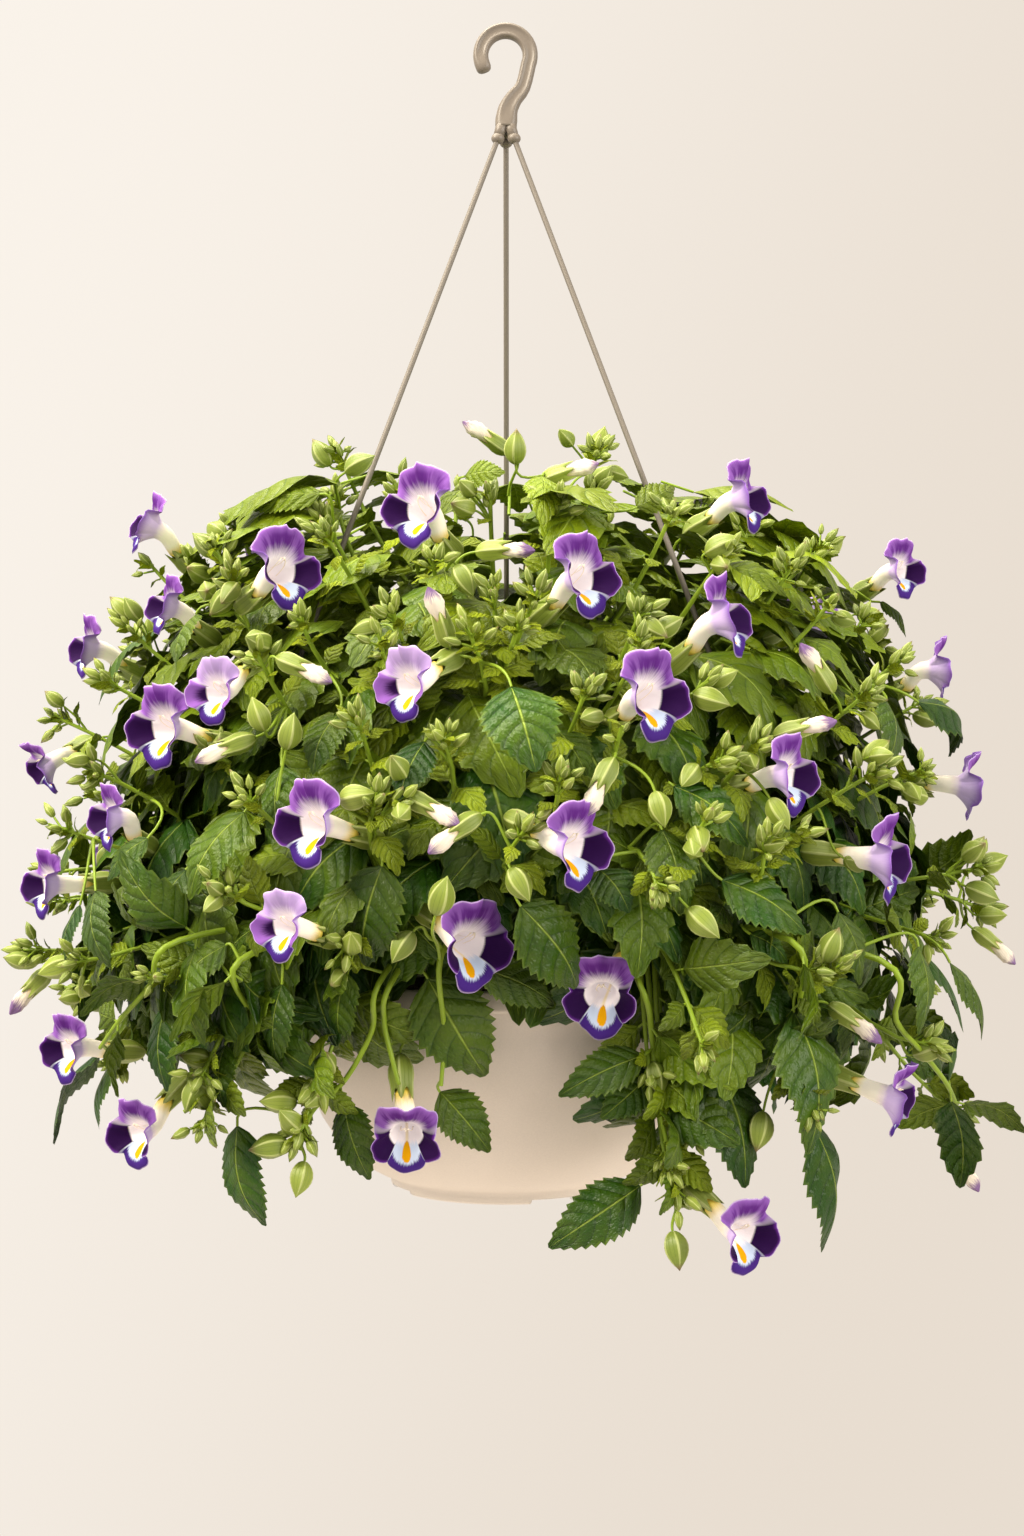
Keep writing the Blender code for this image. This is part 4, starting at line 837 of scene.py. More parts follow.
def turningTree():
    # turns a profile, given as the points of a mesh, about the hanging axis
    tree, sheet, given, result = geometryTree(
        "turnedProfile", ("Profile Points", "Int", 20), ("Steps", "Int", 96),
    )
    grid = sheet.add("GeometryNodeMeshGrid", {
        "Vertices X": sheet.math("ADD", given["Steps"], 1), "Vertices Y": given["Profile Points"],
    })
    position = sheet.add("GeometryNodeInputPosition").outputs[0]
    place = sheet.split(position)
    turn = sheet.times(sheet.math("ADD", place[0], 0.5), math.tau)
    last = sheet.math("SUBTRACT", given["Profile Points"], 1)
    row = sheet.math("ROUND", sheet.times(sheet.math("ADD", place[1], 0.5), last))
    sample = sheet.add("GeometryNodeSampleIndex", {
        "Geometry": given["Geometry"], "Value": position, "Index": row,
    }, data_type="FLOAT_VECTOR", domain="POINT")
    radius, _, height = sheet.split(sample.outputs[0])
    x = sheet.times(radius, sheet.math("COSINE", turn))
    y = sheet.times(radius, sheet.math("SINE", turn))
    moved = sheet.add("GeometryNodeSetPosition", {
        "Geometry": grid.outputs["Mesh"], "Position": sheet.joined(x, y, height),
    })
    merged = sheet.add("GeometryNodeMergeByDistance", {"Geometry": moved.outputs[0], "Distance": 0.00002})
    endWith(sheet, merged.outputs[0], given, result)
    return tree


trees = {"points": pointsTree(), "paths": pathsTree(), "turning": turningTree()}


def runTree(item, tree, look, **values):
    modifier = item.modifiers.new(tree.name, "NODES")
    modifier.node_group = tree
    given = {**spaced(values), "Material": look}
    for socket in tree.interface.items_tree:
        if socket.item_type == "SOCKET" and socket.in_out == "INPUT" and socket.name in given:
            modifier[socket.identifier] = given[socket.name]
    settle(item)
    if not item.data.materials:
        item.data.materials.append(look)
    return item


def shapesOnPoints(name, rows, shapes, look, spread=0.04):
    # rows hold place, turned, sized, kind, tone and shade of each shape
    places, turned, sized, kinds, tones, shades = zip(*rows)
    mesh = plainMesh(name, places)
    pointValues(mesh, "turned", "FLOAT_VECTOR", turned)
    pointValues(mesh, "sized", "FLOAT_VECTOR", sized)
    pointValues(mesh, "kind", "INT", kinds)
    pointValues(mesh, "tone", "FLOAT", tones)
    pointValues(mesh, "shade", "FLOAT", shades)
    collection = bpy.data.collections.new(f"{name} shapes")
    for index, shape in enumerate(shapes):
        collection.objects.link(bpy.data.objects.new(f"{name} shape {index}", shape))
    item = runTree(addObject(name, mesh), trees["points"], look, Shapes=collection, Size_Spread=spread)
    for shape in list(collection.objects):
        bpy.data.objects.remove(shape)
    bpy.data.collections.remove(collection)
    return item


def stemsOnPaths(name, routes, look, sides=6):
    # each route is a list of points and a list of their radii
    points, edges, radii = [], [], []
    for route, sizes in routes:
        first = len(points)
        points += route
        radii += sizes
        edges += [(first + step, first + step + 1) for step in range(len(route) - 1)]
    mesh = plainMesh(name, points, edges)
    pointValues(mesh, "thick", "FLOAT", radii)
    return runTree(addObject(name, mesh), trees["paths"], look, Sides=sides)


def turnedProfile(name, profile, look, steps):
    mesh = plainMesh(name, [(radius, 0, z) for radius, z in profile])
    item = runTree(addObject(name, mesh), trees["turning"], look, Profile_Points=len(profile), Steps=steps)
    weld(item.data, 2e-5)
    item.data.shade_smooth()
    return item


# Leaf shapes, one unit long and wide

leafShape = {
    "arch": 0.13,
    "fold": 0.08,
    "toothDepth": 0.075,
    # Teeth on a side, places of the lanes across, and the curl, wave and twist of each form
    "kinds": {
        "fine": (12, (-1, -0.72, -0.38, -0.06, 0.06, 0.38, 0.72, 1),
                 ((0.0, 0.05, 0.0), (0.07, 0.09, 0.05), (0.12, 0.06, -0.05))),
        "filler": (7, (-1, -0.45, 0, 0.45, 1), ((0.05, 0.1, 0.04), (0.16, 0.14, -0.08), (0.24, 0.1, 0.1))),
        "bract": (3, (-1, 0, 1), ((0.1, 0.05, 0.06), (0.3, 0.05, -0.1), (-0.15, 0.05, 0.0))),
    },
}


def leafWidth(along):
    return 0.5 * math.sin(math.pi * along**0.72) ** 0.85


def leafMesh(name, teeth, lanes, curl, wave, twist=0.0):
    stations = [(0.0, 1.0, 0.0)]
    for tooth in range(teeth):
        stations.append(((tooth + 0.58) / teeth, 1 + leafShape["toothDepth"], 0.22 / teeth))
        stations.append(((tooth + 0.96) / teeth, 1 - leafShape["toothDepth"], 0.0))
    stations[-1] = (1.0, 0.0, 0.0)
    points, coordinates = [], []
    for along, swell, forward in stations:
        width = leafWidth(along) if 0 < along < 1 else (0.03 if along == 0 else 0.0)
        for lane in lanes:
            edge = abs(lane) == 1
            across = lane * width * (swell if edge else 1)
            place = along + (forward if edge else 0)
            rise = leafShape["arch"] * math.sin(math.pi * along) - 2 * leafShape["fold"] * abs(across) ** 1.1
            rise -= curl * along**3
            rise += wave * math.sin(9 * along + 2 * lane) * abs(lane) * width
            sway = twist * along * along
            points.append((across + sway, place, rise))
            coordinates.append((0.5 + 0.5 * lane, along))
    return weld(meshOf(name, points, gridFaces(len(stations), len(lanes), False), coordinates), 1e-6)


def leafShapes(kind):
    teeth, lanes, forms = leafShape["kinds"][kind]
    return [leafMesh(f"{kind} leaf {index}", teeth, lanes, *form) for index, form in enumerate(forms)]


class Leaf:
    # a blade from its base to its tip, its upper face along the normal

    def __init__(self, base, tip, outward, width):
        self.base = base
        self.tip = tip
        self.length = (tip - base).length
        self.along = (tip - base).normalized()
        self.normal = (outward - self.along * outward.dot(self.along)).normalized()
        self.width = width

    def shifted(self, offset):
        return Leaf(self.base + offset, self.tip + offset, self.normal, self.width)

    def row(self, kind, tone, shade):
        sized = (self.width, self.length, self.length)
        return (self.base, rotationTo(self.along, self.normal), sized, kind, tone, shade)

    def samples(self):
        side = self.along.cross(self.normal) * (0.45 * self.width)
        rows = [self.base.lerp(self.tip, share) for share in (0.2, 0.4, 0.6, 0.8)]
        swell = self.normal * (leafShape["arch"] * self.length)
        return [self.base, self.tip] + [row + swell + side * across for row in rows for across in (-1, 0, 1)]


leafPlacing = {
    # outward shifts in mm that the solids' leaves may have
    "shifts": (0, 7, -7, 14, -3, 3, 10, -12, 18, 24),
    "seed": 12,
    # Rows of the sides and the back: drop in mm and how many; and of the top: drop, share, how many
    "farRows": ((268, 4), (322, 5), (376, 6), (430, 6), (486, 6), (545, 6)),
    "topRows": ((240, 0.5, 3), (258, 0.6, 4)),
    # A leaf's tip this near to a solid's corner shows that the solid stands there
    "near": 0.15 * mm,
}


def frontLeaf(column, row, tipColumn, tipRow, width):
    middle = frontPoint((column + tipColumn) / 2, (row + tipRow) / 2, 4 * mm)
    base = frontPoint(column, row, 14 * mm)
    tip = frontPoint(tipColumn, tipRow, 6 * mm)
    return Leaf(base, tip, direction(azimuthOf(middle), 24), width * pixelScale(-middle.y))


def farLeaves(chance):
    # the same staggered rows down the sides and back as the solids have
    for level, (drop, count) in enumerate(leafPlacing["farRows"]):
        for index in range(count):
            azimuth = 84 + 192 * (index + 0.5 * (level % 2)) / (count - 0.5) + chance.uniform(-4, 4)
            z = -(drop + chance.uniform(-12, 12)) * mm
            length = chance.uniform(46, 68) * mm
            base = around(azimuth, 0.86 * moundRadius(azimuth, z), z)
            lean = 0.5 if drop > 400 else 0.75
            tip = around(azimuth + chance.uniform(-8, 8), moundRadius(azimuth, z), z)
            tip = base + (direction(azimuthOf(tip)) * lean - Vector((0, 0, 0.85))).normalized() * length
            outward = direction(azimuth + chance.uniform(-14, 14), 35)
            yield Leaf(base, tip, outward, length * chance.uniform(0.56, 0.66))


def topLeaves(chance):
    for drop, reach, count in leafPlacing["topRows"]:
        for index in range(count):
            azimuth = 100 + 160 * index / (count - 1) + chance.uniform(-8, 8)
            z = -drop * mm
            base = around(azimuth, reach * moundRadius(azimuth, z), z)
            tip = base + (direction(azimuth + chance.uniform(-25, 25)) - Vector((0, 0, 0.25))) * (46 * mm)
            yield Leaf(base, tip, direction(azimuth, 70), 28 * mm)


def leafyNodes():
    return sorted(name for name in frame["nodes"] if name.startswith("leafy_stems"))


def solidLeaves():
    # the large leaves, each where its solid stands
    tree = treeOf([vertex.co for name in leafyNodes() for vertex in frame["nodes"][name].data.vertices])
    chance = random.Random(leafPlacing["seed"])
    front = [frontLeaf(*row) for row in largeLeaves]
    found = []
    for leaf in front + list(farLeaves(chance)) + list(topLeaves(chance)):
        outward = direction(azimuthOf(leaf.base))
        spots = [leaf.shifted(outward * (shift * mm)) for shift in leafPlacing["shifts"]]
        found += [spot for spot in spots if tree.find(spot.tip)[2] < leafPlacing["near"]][:1]
    return found


# Blooms

class Bloom:
    faded = 0.0

    def __init__(self, centre, facing, size, mouth, front):
        self.centre = centre
        self.facing = facing.normalized()
        self.size = size
        self.mouth = mouth
        self.axis = (centre - mouth).normalized()
        self.front = front
        self.seen = pixelOf(centre)


bloomSize = {
    "tubeLength": 25 * mm,
    "tubeRadius": 3.7 * mm,
    "throatRadius": 6.6 * mm,
    # The throat's height against its width, and the waves along the rim in mm
    "flatThroat": 0.82,
    "ruffle": 0.42,
    "seat": 3 * mm,
    "depth": 7.5 * mm,
    "thickness": 0.45 * mm,
    "columns": 72,
    "tubeRows": 6,
    "limbRows": 10,
    # Each round lobe: angle of its middle, distance of its centre and its radius in mm. The two upper
    # ones are fused into one fan
    "lobes": [(62, 12.4, 10.2), (118, 12.4, 10.2), (-10, 8.9, 8.8), (190, 8.9, 8.8), (-90, 10.4, 10.2)],
    "leastReach": 13.5,
    # Angles between the upper fan, the side lobes and the lower lobe
    "upperSpan": (27, 153),
    "lowerSpan": (227, 313),
    # How far forward the rim of the upper, side and lower lobes stands, and how early they bend there
    "forward": (1.8, 5.4, 4.6),
    "bend": (1.7, 1.5, 1.5),
    "keel": 1.0,
    # The upper fan between its lobes: least reach in mm, and what is added in the middle
    "fan": (15.5, 5.8),
}

# How the lobes stand off a plain funnel, in mm
lobeForm = {
    "folds": 1.8,
    "crumple": 0.9,
    "crest": 2.4,
    "sidesBack": 3.0,
    "rimBack": 2.0,
    "sideCurl": 1.2,
    "ripple": 0.5,
    "lowerCup": 0.6,
    "lowerBack": 3.4,
}


def tubeLength(size):
    return bloomSize["tubeLength"] * (0.55 + 0.45 * size)


def frontBloom(column, row, yaw, pitch, size, columns, rows):
    centre = frontPoint(column, row)
    sideways = Vector((columns * view["pixel"], 0, -rows * view["pixel"]))
    length = tubeLength(size)
    if sideways.length > 0.9 * length:
        sideways *= 0.9 * length / sideways.length
    inward = math.sqrt(length * length - sideways.length_squared)
    return Bloom(centre, direction(yaw, pitch), size, centre + sideways + Vector((0, inward, 0)), True)


def farBloom(azimuth, drop, yaw, pitch, size):
    z = -drop * mm
    centre = around(azimuth, moundRadius(azimuth, z), z)
    facing = direction(azimuth + yaw, pitch)
    back = (facing + Vector((0, 0, 0.25))).normalized() * tubeLength(size)
    return Bloom(centre, facing, size, centre - back, False)


flowers = [frontBloom(*row) for row in blooms] + [farBloom(*row) for row in farBlooms]
for index in fadedBlooms:
    flowers[index].faded = 1.0


def lobeAt(degrees):
    # lobe (0 upper, 1 side, 2 lower) and place across it, and reach of the limb in mm
    reach = bloomSize["leastReach"]
    for middle, distance, radius in bloomSize["lobes"]:
        away = math.radians((degrees - middle + 180) % 360 - 180)
        inner = radius * radius - (distance * math.sin(away)) ** 2
        if inner > 0 and math.cos(away) > 0:
            reach = max(reach, distance * math.cos(away) + math.sqrt(inner))
    turned = degrees % 360
    low, high = bloomSize["upperSpan"]
    if low <= turned <= high:
        across = (turned - 90) / ((high - low) / 2)
        keel = bloomSize["keel"] * math.exp(-(((turned - 90) / 3.5) ** 2))
        least, swell = bloomSize["fan"]
        return 0, across, max(reach, least + swell * (1 - across * across)) + keel
    low, high = bloomSize["lowerSpan"]
    if low <= turned <= high:
        return 2, (turned - 270) / ((high - low) / 2), reach
    sideways = turned if turned < 90 else 180 - turned if turned < 231 else turned - 360
    return 1, (sideways + 12) / 39, reach


def lobeShares(degrees):
    # how much of each kind of lobe is in the form at this angle, blended across the clefts
    shares = [0.0, 0.0, 0.0]
    for offset in (-6, -3, 0, 3, 6):
        shares[lobeAt(degrees + offset)[0]] += 0.2
    return shares


def limbForward(degrees, share, ripple):
    # place in mm along the facing of a point at this share of the way from the throat to the rim
    which, across, _ = lobeAt(degrees)
    place = 0.0
    for lobe, amount in enumerate(lobeShares(degrees)):
        if amount:
            rise = bloomSize["forward"][lobe] + bloomSize["depth"] / mm
            place += amount * rise * (1 - (1 - share) ** bloomSize["bend"][lobe])
    turn = math.radians(degrees)
    if which == 0:
        folds = lobeForm["folds"] * math.cos(3.4 * (turn - math.pi / 2) + 0.5 * math.sin(ripple[0]))
        place += (folds + lobeForm["crumple"] * math.sin(13 * turn + ripple[0])) * share**2
        place += lobeForm["crest"] * math.exp(-(((degrees - 90) / 4.5) ** 2)) * share
        place -= (lobeForm["sidesBack"] * across * across + lobeForm["rimBack"] * share**3) * share
    elif which == 1:
        curl = lobeForm["sideCurl"] * (ripple[3] if degrees < 90 or degrees > 270 else ripple[4])
        place += curl * ((0.35 - across * across) * share**2 + share**3)
        place += lobeForm["ripple"] * math.sin(9 * turn + ripple[1]) * share**3
    else:
        place += (lobeForm["lowerCup"] * across * across - lobeForm["lowerBack"] * share**4) * share
        place += lobeForm["ripple"] * math.sin(10 * turn + ripple[2]) * share**3
    return place - bloomSize["depth"] / mm


def tubeRows(bloom):
    # rows of points from the tube's base to the throat, with their place along the petal
    size = bloom.size
    side = crossAxes(bloom.facing)[0]
    start = bloom.mouth - bloom.axis * bloomSize["seat"]
    throat = bloom.centre - bloom.facing * (bloomSize["depth"] * size)
    pull = 0.4 * (throat - start).length
    centres = bezier(start, start + bloom.axis * pull, throat - bloom.facing * pull, throat,
                     bloomSize["tubeRows"] + 1)
    for index, centre in enumerate(centres):
        share = index / bloomSize["tubeRows"]
        before, after = centres[max(index - 1, 0)], centres[min(index + 1, len(centres) - 1)]
        along = (after - before).normalized().lerp(bloom.facing, share * share).normalized()
        flat = (side - along * side.dot(along)).normalized()
        tall = flat.cross(along)
        swell = 0.3 * share + 0.7 * share * share
        radius = bloomSize["tubeRadius"] * (0.75 + 0.25 * size)
        radius += (bloomSize["throatRadius"] * size - radius) * swell
        radius *= 1.0 if index else 0.15
        lift = radius * (1 + (bloomSize["flatThroat"] - 1) * share)
        turns = [math.tau * step / bloomSize["columns"] for step in range(bloomSize["columns"])]
        yield 0.4 * share, [centre + flat * (radius * math.cos(turn)) + tall * (lift * math.sin(turn))
                            for turn in turns]


def limbRows(bloom, ripple):
    # the same from the throat to the rim
    side, rise = crossAxes(bloom.facing)
    inner = bloomSize["throatRadius"] / mm
    for index in range(1, bloomSize["limbRows"] + 1):
        share = (index / bloomSize["limbRows"]) ** 0.85
        lift = 1 + (bloomSize["flatThroat"] - 1) * (1 - share)
        row = []
        for step in range(bloomSize["columns"]):
            degrees = 360 * step / bloomSize["columns"]
            turn = math.radians(degrees)
            wave = math.sin(8 * turn + ripple[0]) + 0.7 * math.sin(13 * turn + ripple[1])
            reach = lobeAt(degrees)[2] + bloomSize["ruffle"] * wave * share * share
            out = inner + (reach - inner) * share**1.1
            away = side * (out * math.cos(turn)) + rise * (out * lift * math.sin(turn))
            away += bloom.facing * limbForward(degrees, share, ripple)
            row.append(bloom.centre + away * (bloom.size * mm))
        yield 0.4 + 0.6 * share, row


def corolla(name, bloom, chance):
    # a thin closed shell of tube and limb, and the stamens in its throat
    columns = bloomSize["columns"]
    ripple = [chance.uniform(0, math.tau) for _ in range(3)] + [chance.uniform(0.3, 1.4) for _ in range(2)]
    rows = list(tubeRows(bloom)) + list(limbRows(bloom, ripple))
    inner = [point for _, row in rows for point in row]
    count = len(inner)
    lastRow = count - columns
    faces = gridFaces(len(rows), columns, True)
    sheet = plainMesh("sheet", inner, (), faces)
    normals = [Vector(normal.vector) for normal in sheet.vertex_normals]
    bpy.data.meshes.remove(sheet)
    middle = len(rows) // 2 * columns
    inward = normals[middle].dot(inner[middle] - bloom.centre) > 0
    sign = 1 if inward else -1
    outer = []
    for index, point in enumerate(inner):
        fade = 0.35 if index >= lastRow else 1.0
        outer.append(point + normals[index] * (sign * bloomSize["thickness"] * fade))
    faceIn = [face[::-1] for face in faces] if inward else faces
    faceOut = shifted([face[::-1] for face in faceIn], count)
    for start in (lastRow, 0):
        for step in range(columns):
            after = (step + 1) % columns
            faceOut.append((start + step, start + after, count + start + after, count + start + step))
    lobes = [lobeAt(360 * step / columns)[:2] for step in range(columns)]
    coordinates = [(0.5 + 0.5 * across, reach) for reach, _ in rows for _, across in lobes]
    zones = [tuple(float(which == lobe) for lobe in range(3)) for which, _ in lobes] * len(rows)
    points, more, tints = stamens(bloom)
    allFaces = faceIn + faceOut + shifted(more, 2 * count)
    mesh = meshOf(name, inner + outer + points, allFaces, coordinates * 2 + tints)
    pointValues(mesh, "zone", "FLOAT_VECTOR", zones * 2 + [(0, 0, 0)] * len(points))
    pointValues(mesh, "faded", "FLOAT", [bloom.faded] * len(mesh.vertices))
    for label in ("petalFace", "petalBack", "stamen"):
        mesh.materials.append(looks[label])
    kinds = [0] * len(faceIn) + [1] * len(faceOut) + [2] * len(more)
    mesh.polygons.foreach_set("material_index", kinds)
    return addObject(name, weld(mesh, 1e-7))


def stamens(bloom):
    # two arched filaments that meet under the upper lip, and the style between them
    size = bloom.size * mm
    side, rise = crossAxes(bloom.facing)
    throat = bloom.centre - bloom.facing * (12 * size)
    top = bloom.centre + rise * (6.2 * size) - bloom.facing * (1.2 * size)
    points, faces = [], []
    for sign in (-1, 1, 0):
        start = throat + side * (3.0 * sign * size) - rise * ((1.0 if sign else -3.0) * size)
        bend = bloom.centre + side * (3.2 * sign * size) + rise * (3.4 * size) - bloom.facing * (2.0 * size)
        end = top + side * (0.8 * sign * size) + bloom.facing * ((0 if sign else 1.5) * size)
        route = bezier(start, start.lerp(bend, 0.6), bend, end, 6)
        ends = [(3, 2, 1, 0), tuple(4 * (len(route) - 1) + corner for corner in range(4))]
        faces += shifted(gridFaces(len(route), 4, True) + ends, len(points))
        for index, place in enumerate(route):
            radius = (0.3 if index < 5 else 0.75) * size
            for corner in range(4):
                turn = math.tau * corner / 4
                points.append(place + side * (radius * math.cos(turn))
                              + bloom.facing * (radius * math.sin(turn)))
    return points, faces, [(0.5, 0.3)] * len(points)


# Calyces, pods, buds and folded corollas, one unit long about +Y: places along and radii

podProfile = {
    "pod": [(0.0, 0.0), (0.015, 0.08), (0.07, 0.16), (0.16, 0.228), (0.27, 0.27), (0.4, 0.285), (0.53, 0.272),
            (0.65, 0.235), (0.76, 0.178), (0.85, 0.113), (0.92, 0.055), (1.0, 0.0)],
    "calyx": [(0.0, 0.0), (0.015, 0.09), (0.08, 0.16), (0.2, 0.228), (0.36, 0.264), (0.54, 0.268),
              (0.72, 0.25), (0.9, 0.226), (0.9, 0.218)],
    "bud": [(0.0, 0.0), (0.12, 0.16), (0.4, 0.245), (0.72, 0.16), (1.0, 0.0)],
    "folded": [(0.0, 0.13), (0.2, 0.15), (0.4, 0.175), (0.58, 0.2), (0.74, 0.175), (0.88, 0.1), (1.0, 0.02)],
    "ribs": 5,
}


def podShape(name, kind, sides, ribHeight):
    def swell(along, turn):
        share = math.sin(math.pi * min(along, 0.96)) if along else 0
        return 1 + ribHeight * share * (2 * abs(math.cos(podProfile["ribs"] * turn / 2)) ** 7 - 0.4)
    return ringShape(name, podProfile[kind], sides, swell)


def calyxShape():
    # the open cup of a bloom, whose five ribs run out into teeth
    mesh = podShape("calyx", "calyx", 30, 0.12)
    last = max(vertex.co.y for vertex in mesh.vertices)
    for vertex in mesh.vertices:
        if vertex.co.y > last - 1e-4:
            turn = math.atan2(vertex.co.x, vertex.co.z)
            tooth = abs(math.cos(podProfile["ribs"] * turn / 2)) ** 2.2
            vertex.co.y += 0.3 * tooth - 0.08
            vertex.co.x *= 0.97 + 0.1 * tooth
            vertex.co.z *= 0.97 + 0.1 * tooth
    return mesh


def foldedShape(name, twist):
    def crumple(along, turn):
        return 1 + 0.24 * smoothStep(0.2, 0.8, along) * math.cos(4 * turn + 5 * along)
    return ringShape(name, podProfile["folded"], 16, crumple, twist, 0.06)


# The plants

growth = {
    "seed": 23,
    "stem": 1.7 * mm,
    "shootTip": 1.05 * mm,
    "petiole": 0.75 * mm,
    # Pairs of leaves on a shoot: place behind its tip and length in mm, and how much fresher than the rest
    "pairs": ((13, 14, 0.42), (27, 24, 0.2), (46, 38, 0.02), (68, 50, -0.06)),
    "runnerPairs": ((22, 26, 0.1), (58, 34, 0.0), (96, 40, -0.05)),
    # Runners that end between these columns hang bare in front of the pot
    "bareColumns": (280, 640),
    # Shoots between those of the photograph: tries, drops, least spacing, and pitch by drop in mm
    "shootTries": 2600,
    "shootDrops": (0.236, 0.60),
    "shootSpacing": 44 * mm,
    "shootPitch": [(236, 78), (300, 50), (400, 22), (480, -12), (600, -58)],
    # The mound's half width where it is widest, against which narrower places get fewer tries
    "widest": 0.26,
    # Room in pixels that is left beside the wires and round the blooms
    "wireClearance": 9,
    "bloomClearance": 40,
    # Room round the axis of a bloom's face, and round its tube between these places along it
    "faceRoom": 25 * mm,
    "tubeRoom": 9 * mm,
    "tubeSpan": (-10 * mm, 32 * mm),
    # Layers of leaves: share of the mound's radius, drops, spacing, tries, lengths and tones
    "layers": (
        # the outer three layers have lower, darker tones the deeper they lie: painted shade inside the mound
        (0.80, (0.246, 0.585), 29 * mm, 5200, (0.044, 0.066), (0.0, 0.22)),
        (0.70, (0.262, 0.56), 23 * mm, 5200, (0.046, 0.066), (-0.05, 0.12)),
        (0.52, (0.262, 0.56), 24 * mm, 4200, (0.05, 0.07), (-0.1, 0.06)),
        (0.34, (0.252, 0.33), 20 * mm, 2400, (0.038, 0.052), (0.0, 0.2)),
        (0.14, (0.252, 0.33), 20 * mm, 2400, (0.038, 0.052), (0.0, 0.2)),
    ),
    # Lengths of the pods and, in mm, of the small pods, the buds and the narrow leaves among them
    "podLength": 18.5 * mm,
    "smallPods": (13, 18),
    "buds": (6.5, 12),
    "bracts": (7, 14),
}

# What grows is gathered before its meshes are made: rows of shapes, the stems' routes with their radii,
# and the places on the stems where stalks may start. All plants share one source of chance
largeRows, innerRows, smallRows, bractRows, podRows, budRows, foldedRows = ([] for _ in range(7))
paths = []
joints = []
luck = random.Random(growth["seed"])


def addStem(route):
    # a stem that thins towards its tip and may carry stalks
    last = len(route) - 1
    thick, thin = growth["stem"], growth["shootTip"]
    paths.append((route, [thick + (thin - thick) * step / last for step in range(len(route))]))
    joints.extend(route[1:-1])


def addLeaf(rows, leaf, tone):
    rows.append(leaf.row(luck.randrange(3), tone, luck.random()))


def scattered(tries, drops, share=1.0):
    # places spread evenly over the mound, or over a layer at a share of its radius
    for _ in range(tries):
        azimuth = luck.uniform(-180, 180)
        z = -luck.uniform(*drops)
        radius = share * moundRadius(azimuth, z)
        if luck.random() <= radius / growth["widest"]:
            yield azimuth, z, radius


def upright(start, axis, side, size, kind, tone, shade):
    # the row of a shape that stands along an axis
    return start, rotationTo(axis, side), (size, size, size), kind, tone, shade


def wireColumn(name, row):
    # the column at which a wire is seen in a row of the photograph
    azimuth = wireSize["azimuths"][name]
    low, high = 0.0, 0.31
    for _ in range(24):
        drop = (low + high) / 2
        point = around(azimuth, wireSize["topCircle"] + wireSize["slope"] * drop, wireSize["topZ"] - drop)
        if pixelOf(point)[1] < row:
            low = drop
        else:
            high = drop
    return pixelOf(point)[0], -point.y


wireLines = {
    name: {row: wireColumn(name, row) for row in range(400, 660, 4)} for name in wireSize["azimuths"]
}


def hidesWire(point, margin):
    column, row = pixelOf(point)
    nearest = int(row) // 4 * 4
    for name, line in wireLines.items():
        if nearest in line and row < wireSize["seenTo"][name]:
            wireAt, depth = line[nearest]
            if abs(column - wireAt) < margin and -point.y > depth - 4 * mm:
                return True
    return False


def hidesBloom(point, slack=0.0):
    # True for a point in front of an open bloom, along its facing or seen from the camera
    for bloom in flowers:
        offset = point - bloom.centre
        if offset.length > 0.09:
            continue
        ahead = offset.dot(bloom.facing)
        sideways = (offset - bloom.facing * ahead).length
        if ahead > -9 * mm and sideways < (growth["faceRoom"] + slack) * bloom.size:
            return True
        if bloom.front and point.y < bloom.centre.y + 6 * mm:
            column, row = pixelOf(point)
            away = math.hypot(column - bloom.seen[0], row - bloom.seen[1])
            if away < growth["bloomClearance"] * bloom.size:
                return True
    return False


def tubeGap(bloom, point):
    # how far a point stands outside a bloom's tube and calyx, and the way out
    ahead = (point - bloom.mouth).dot(bloom.axis)
    away = point - bloom.mouth - bloom.axis * ahead
    low, high = growth["tubeSpan"]
    return away.length - growth["tubeRoom"] if low < ahead < high else 1.0, away.normalized()


def crowdsPot(point):
    # True for a point inside the pot or its wall
    if point.z > potSize["rimZ"] + 4 * mm or point.z < potSize["footZ"] - 2 * mm:
        return False
    height = (point.z - potSize["footZ"]) / mm
    return math.hypot(point.x, point.y) < interpolate(potSize["side"], height) * mm + 5 * mm


def inOutline(point):
    # True where the mass of leaves may reach, as seen from the front
    if point.y > 0.02:
        return point.z > -0.575
    column, row = pixelOf(point)
    return row < interpolate(lowerEdge, column) + 12


def leafIsFree(leaf):
    spots = leaf.samples()
    if any(hidesWire(spot, growth["wireClearance"]) for spot in spots):
        return False
    if any(hidesWire(first.lerp(second, 0.5), 7) for first, second in zip(spots[2:], spots[3:])):
        return False
    if any(crowdsPot(spot) or any(tubeGap(bloom, spot)[0] < -3 * mm for bloom in flowers) for spot in spots):
        return False
    return not any(hidesBloom(spot) for spot in spots)


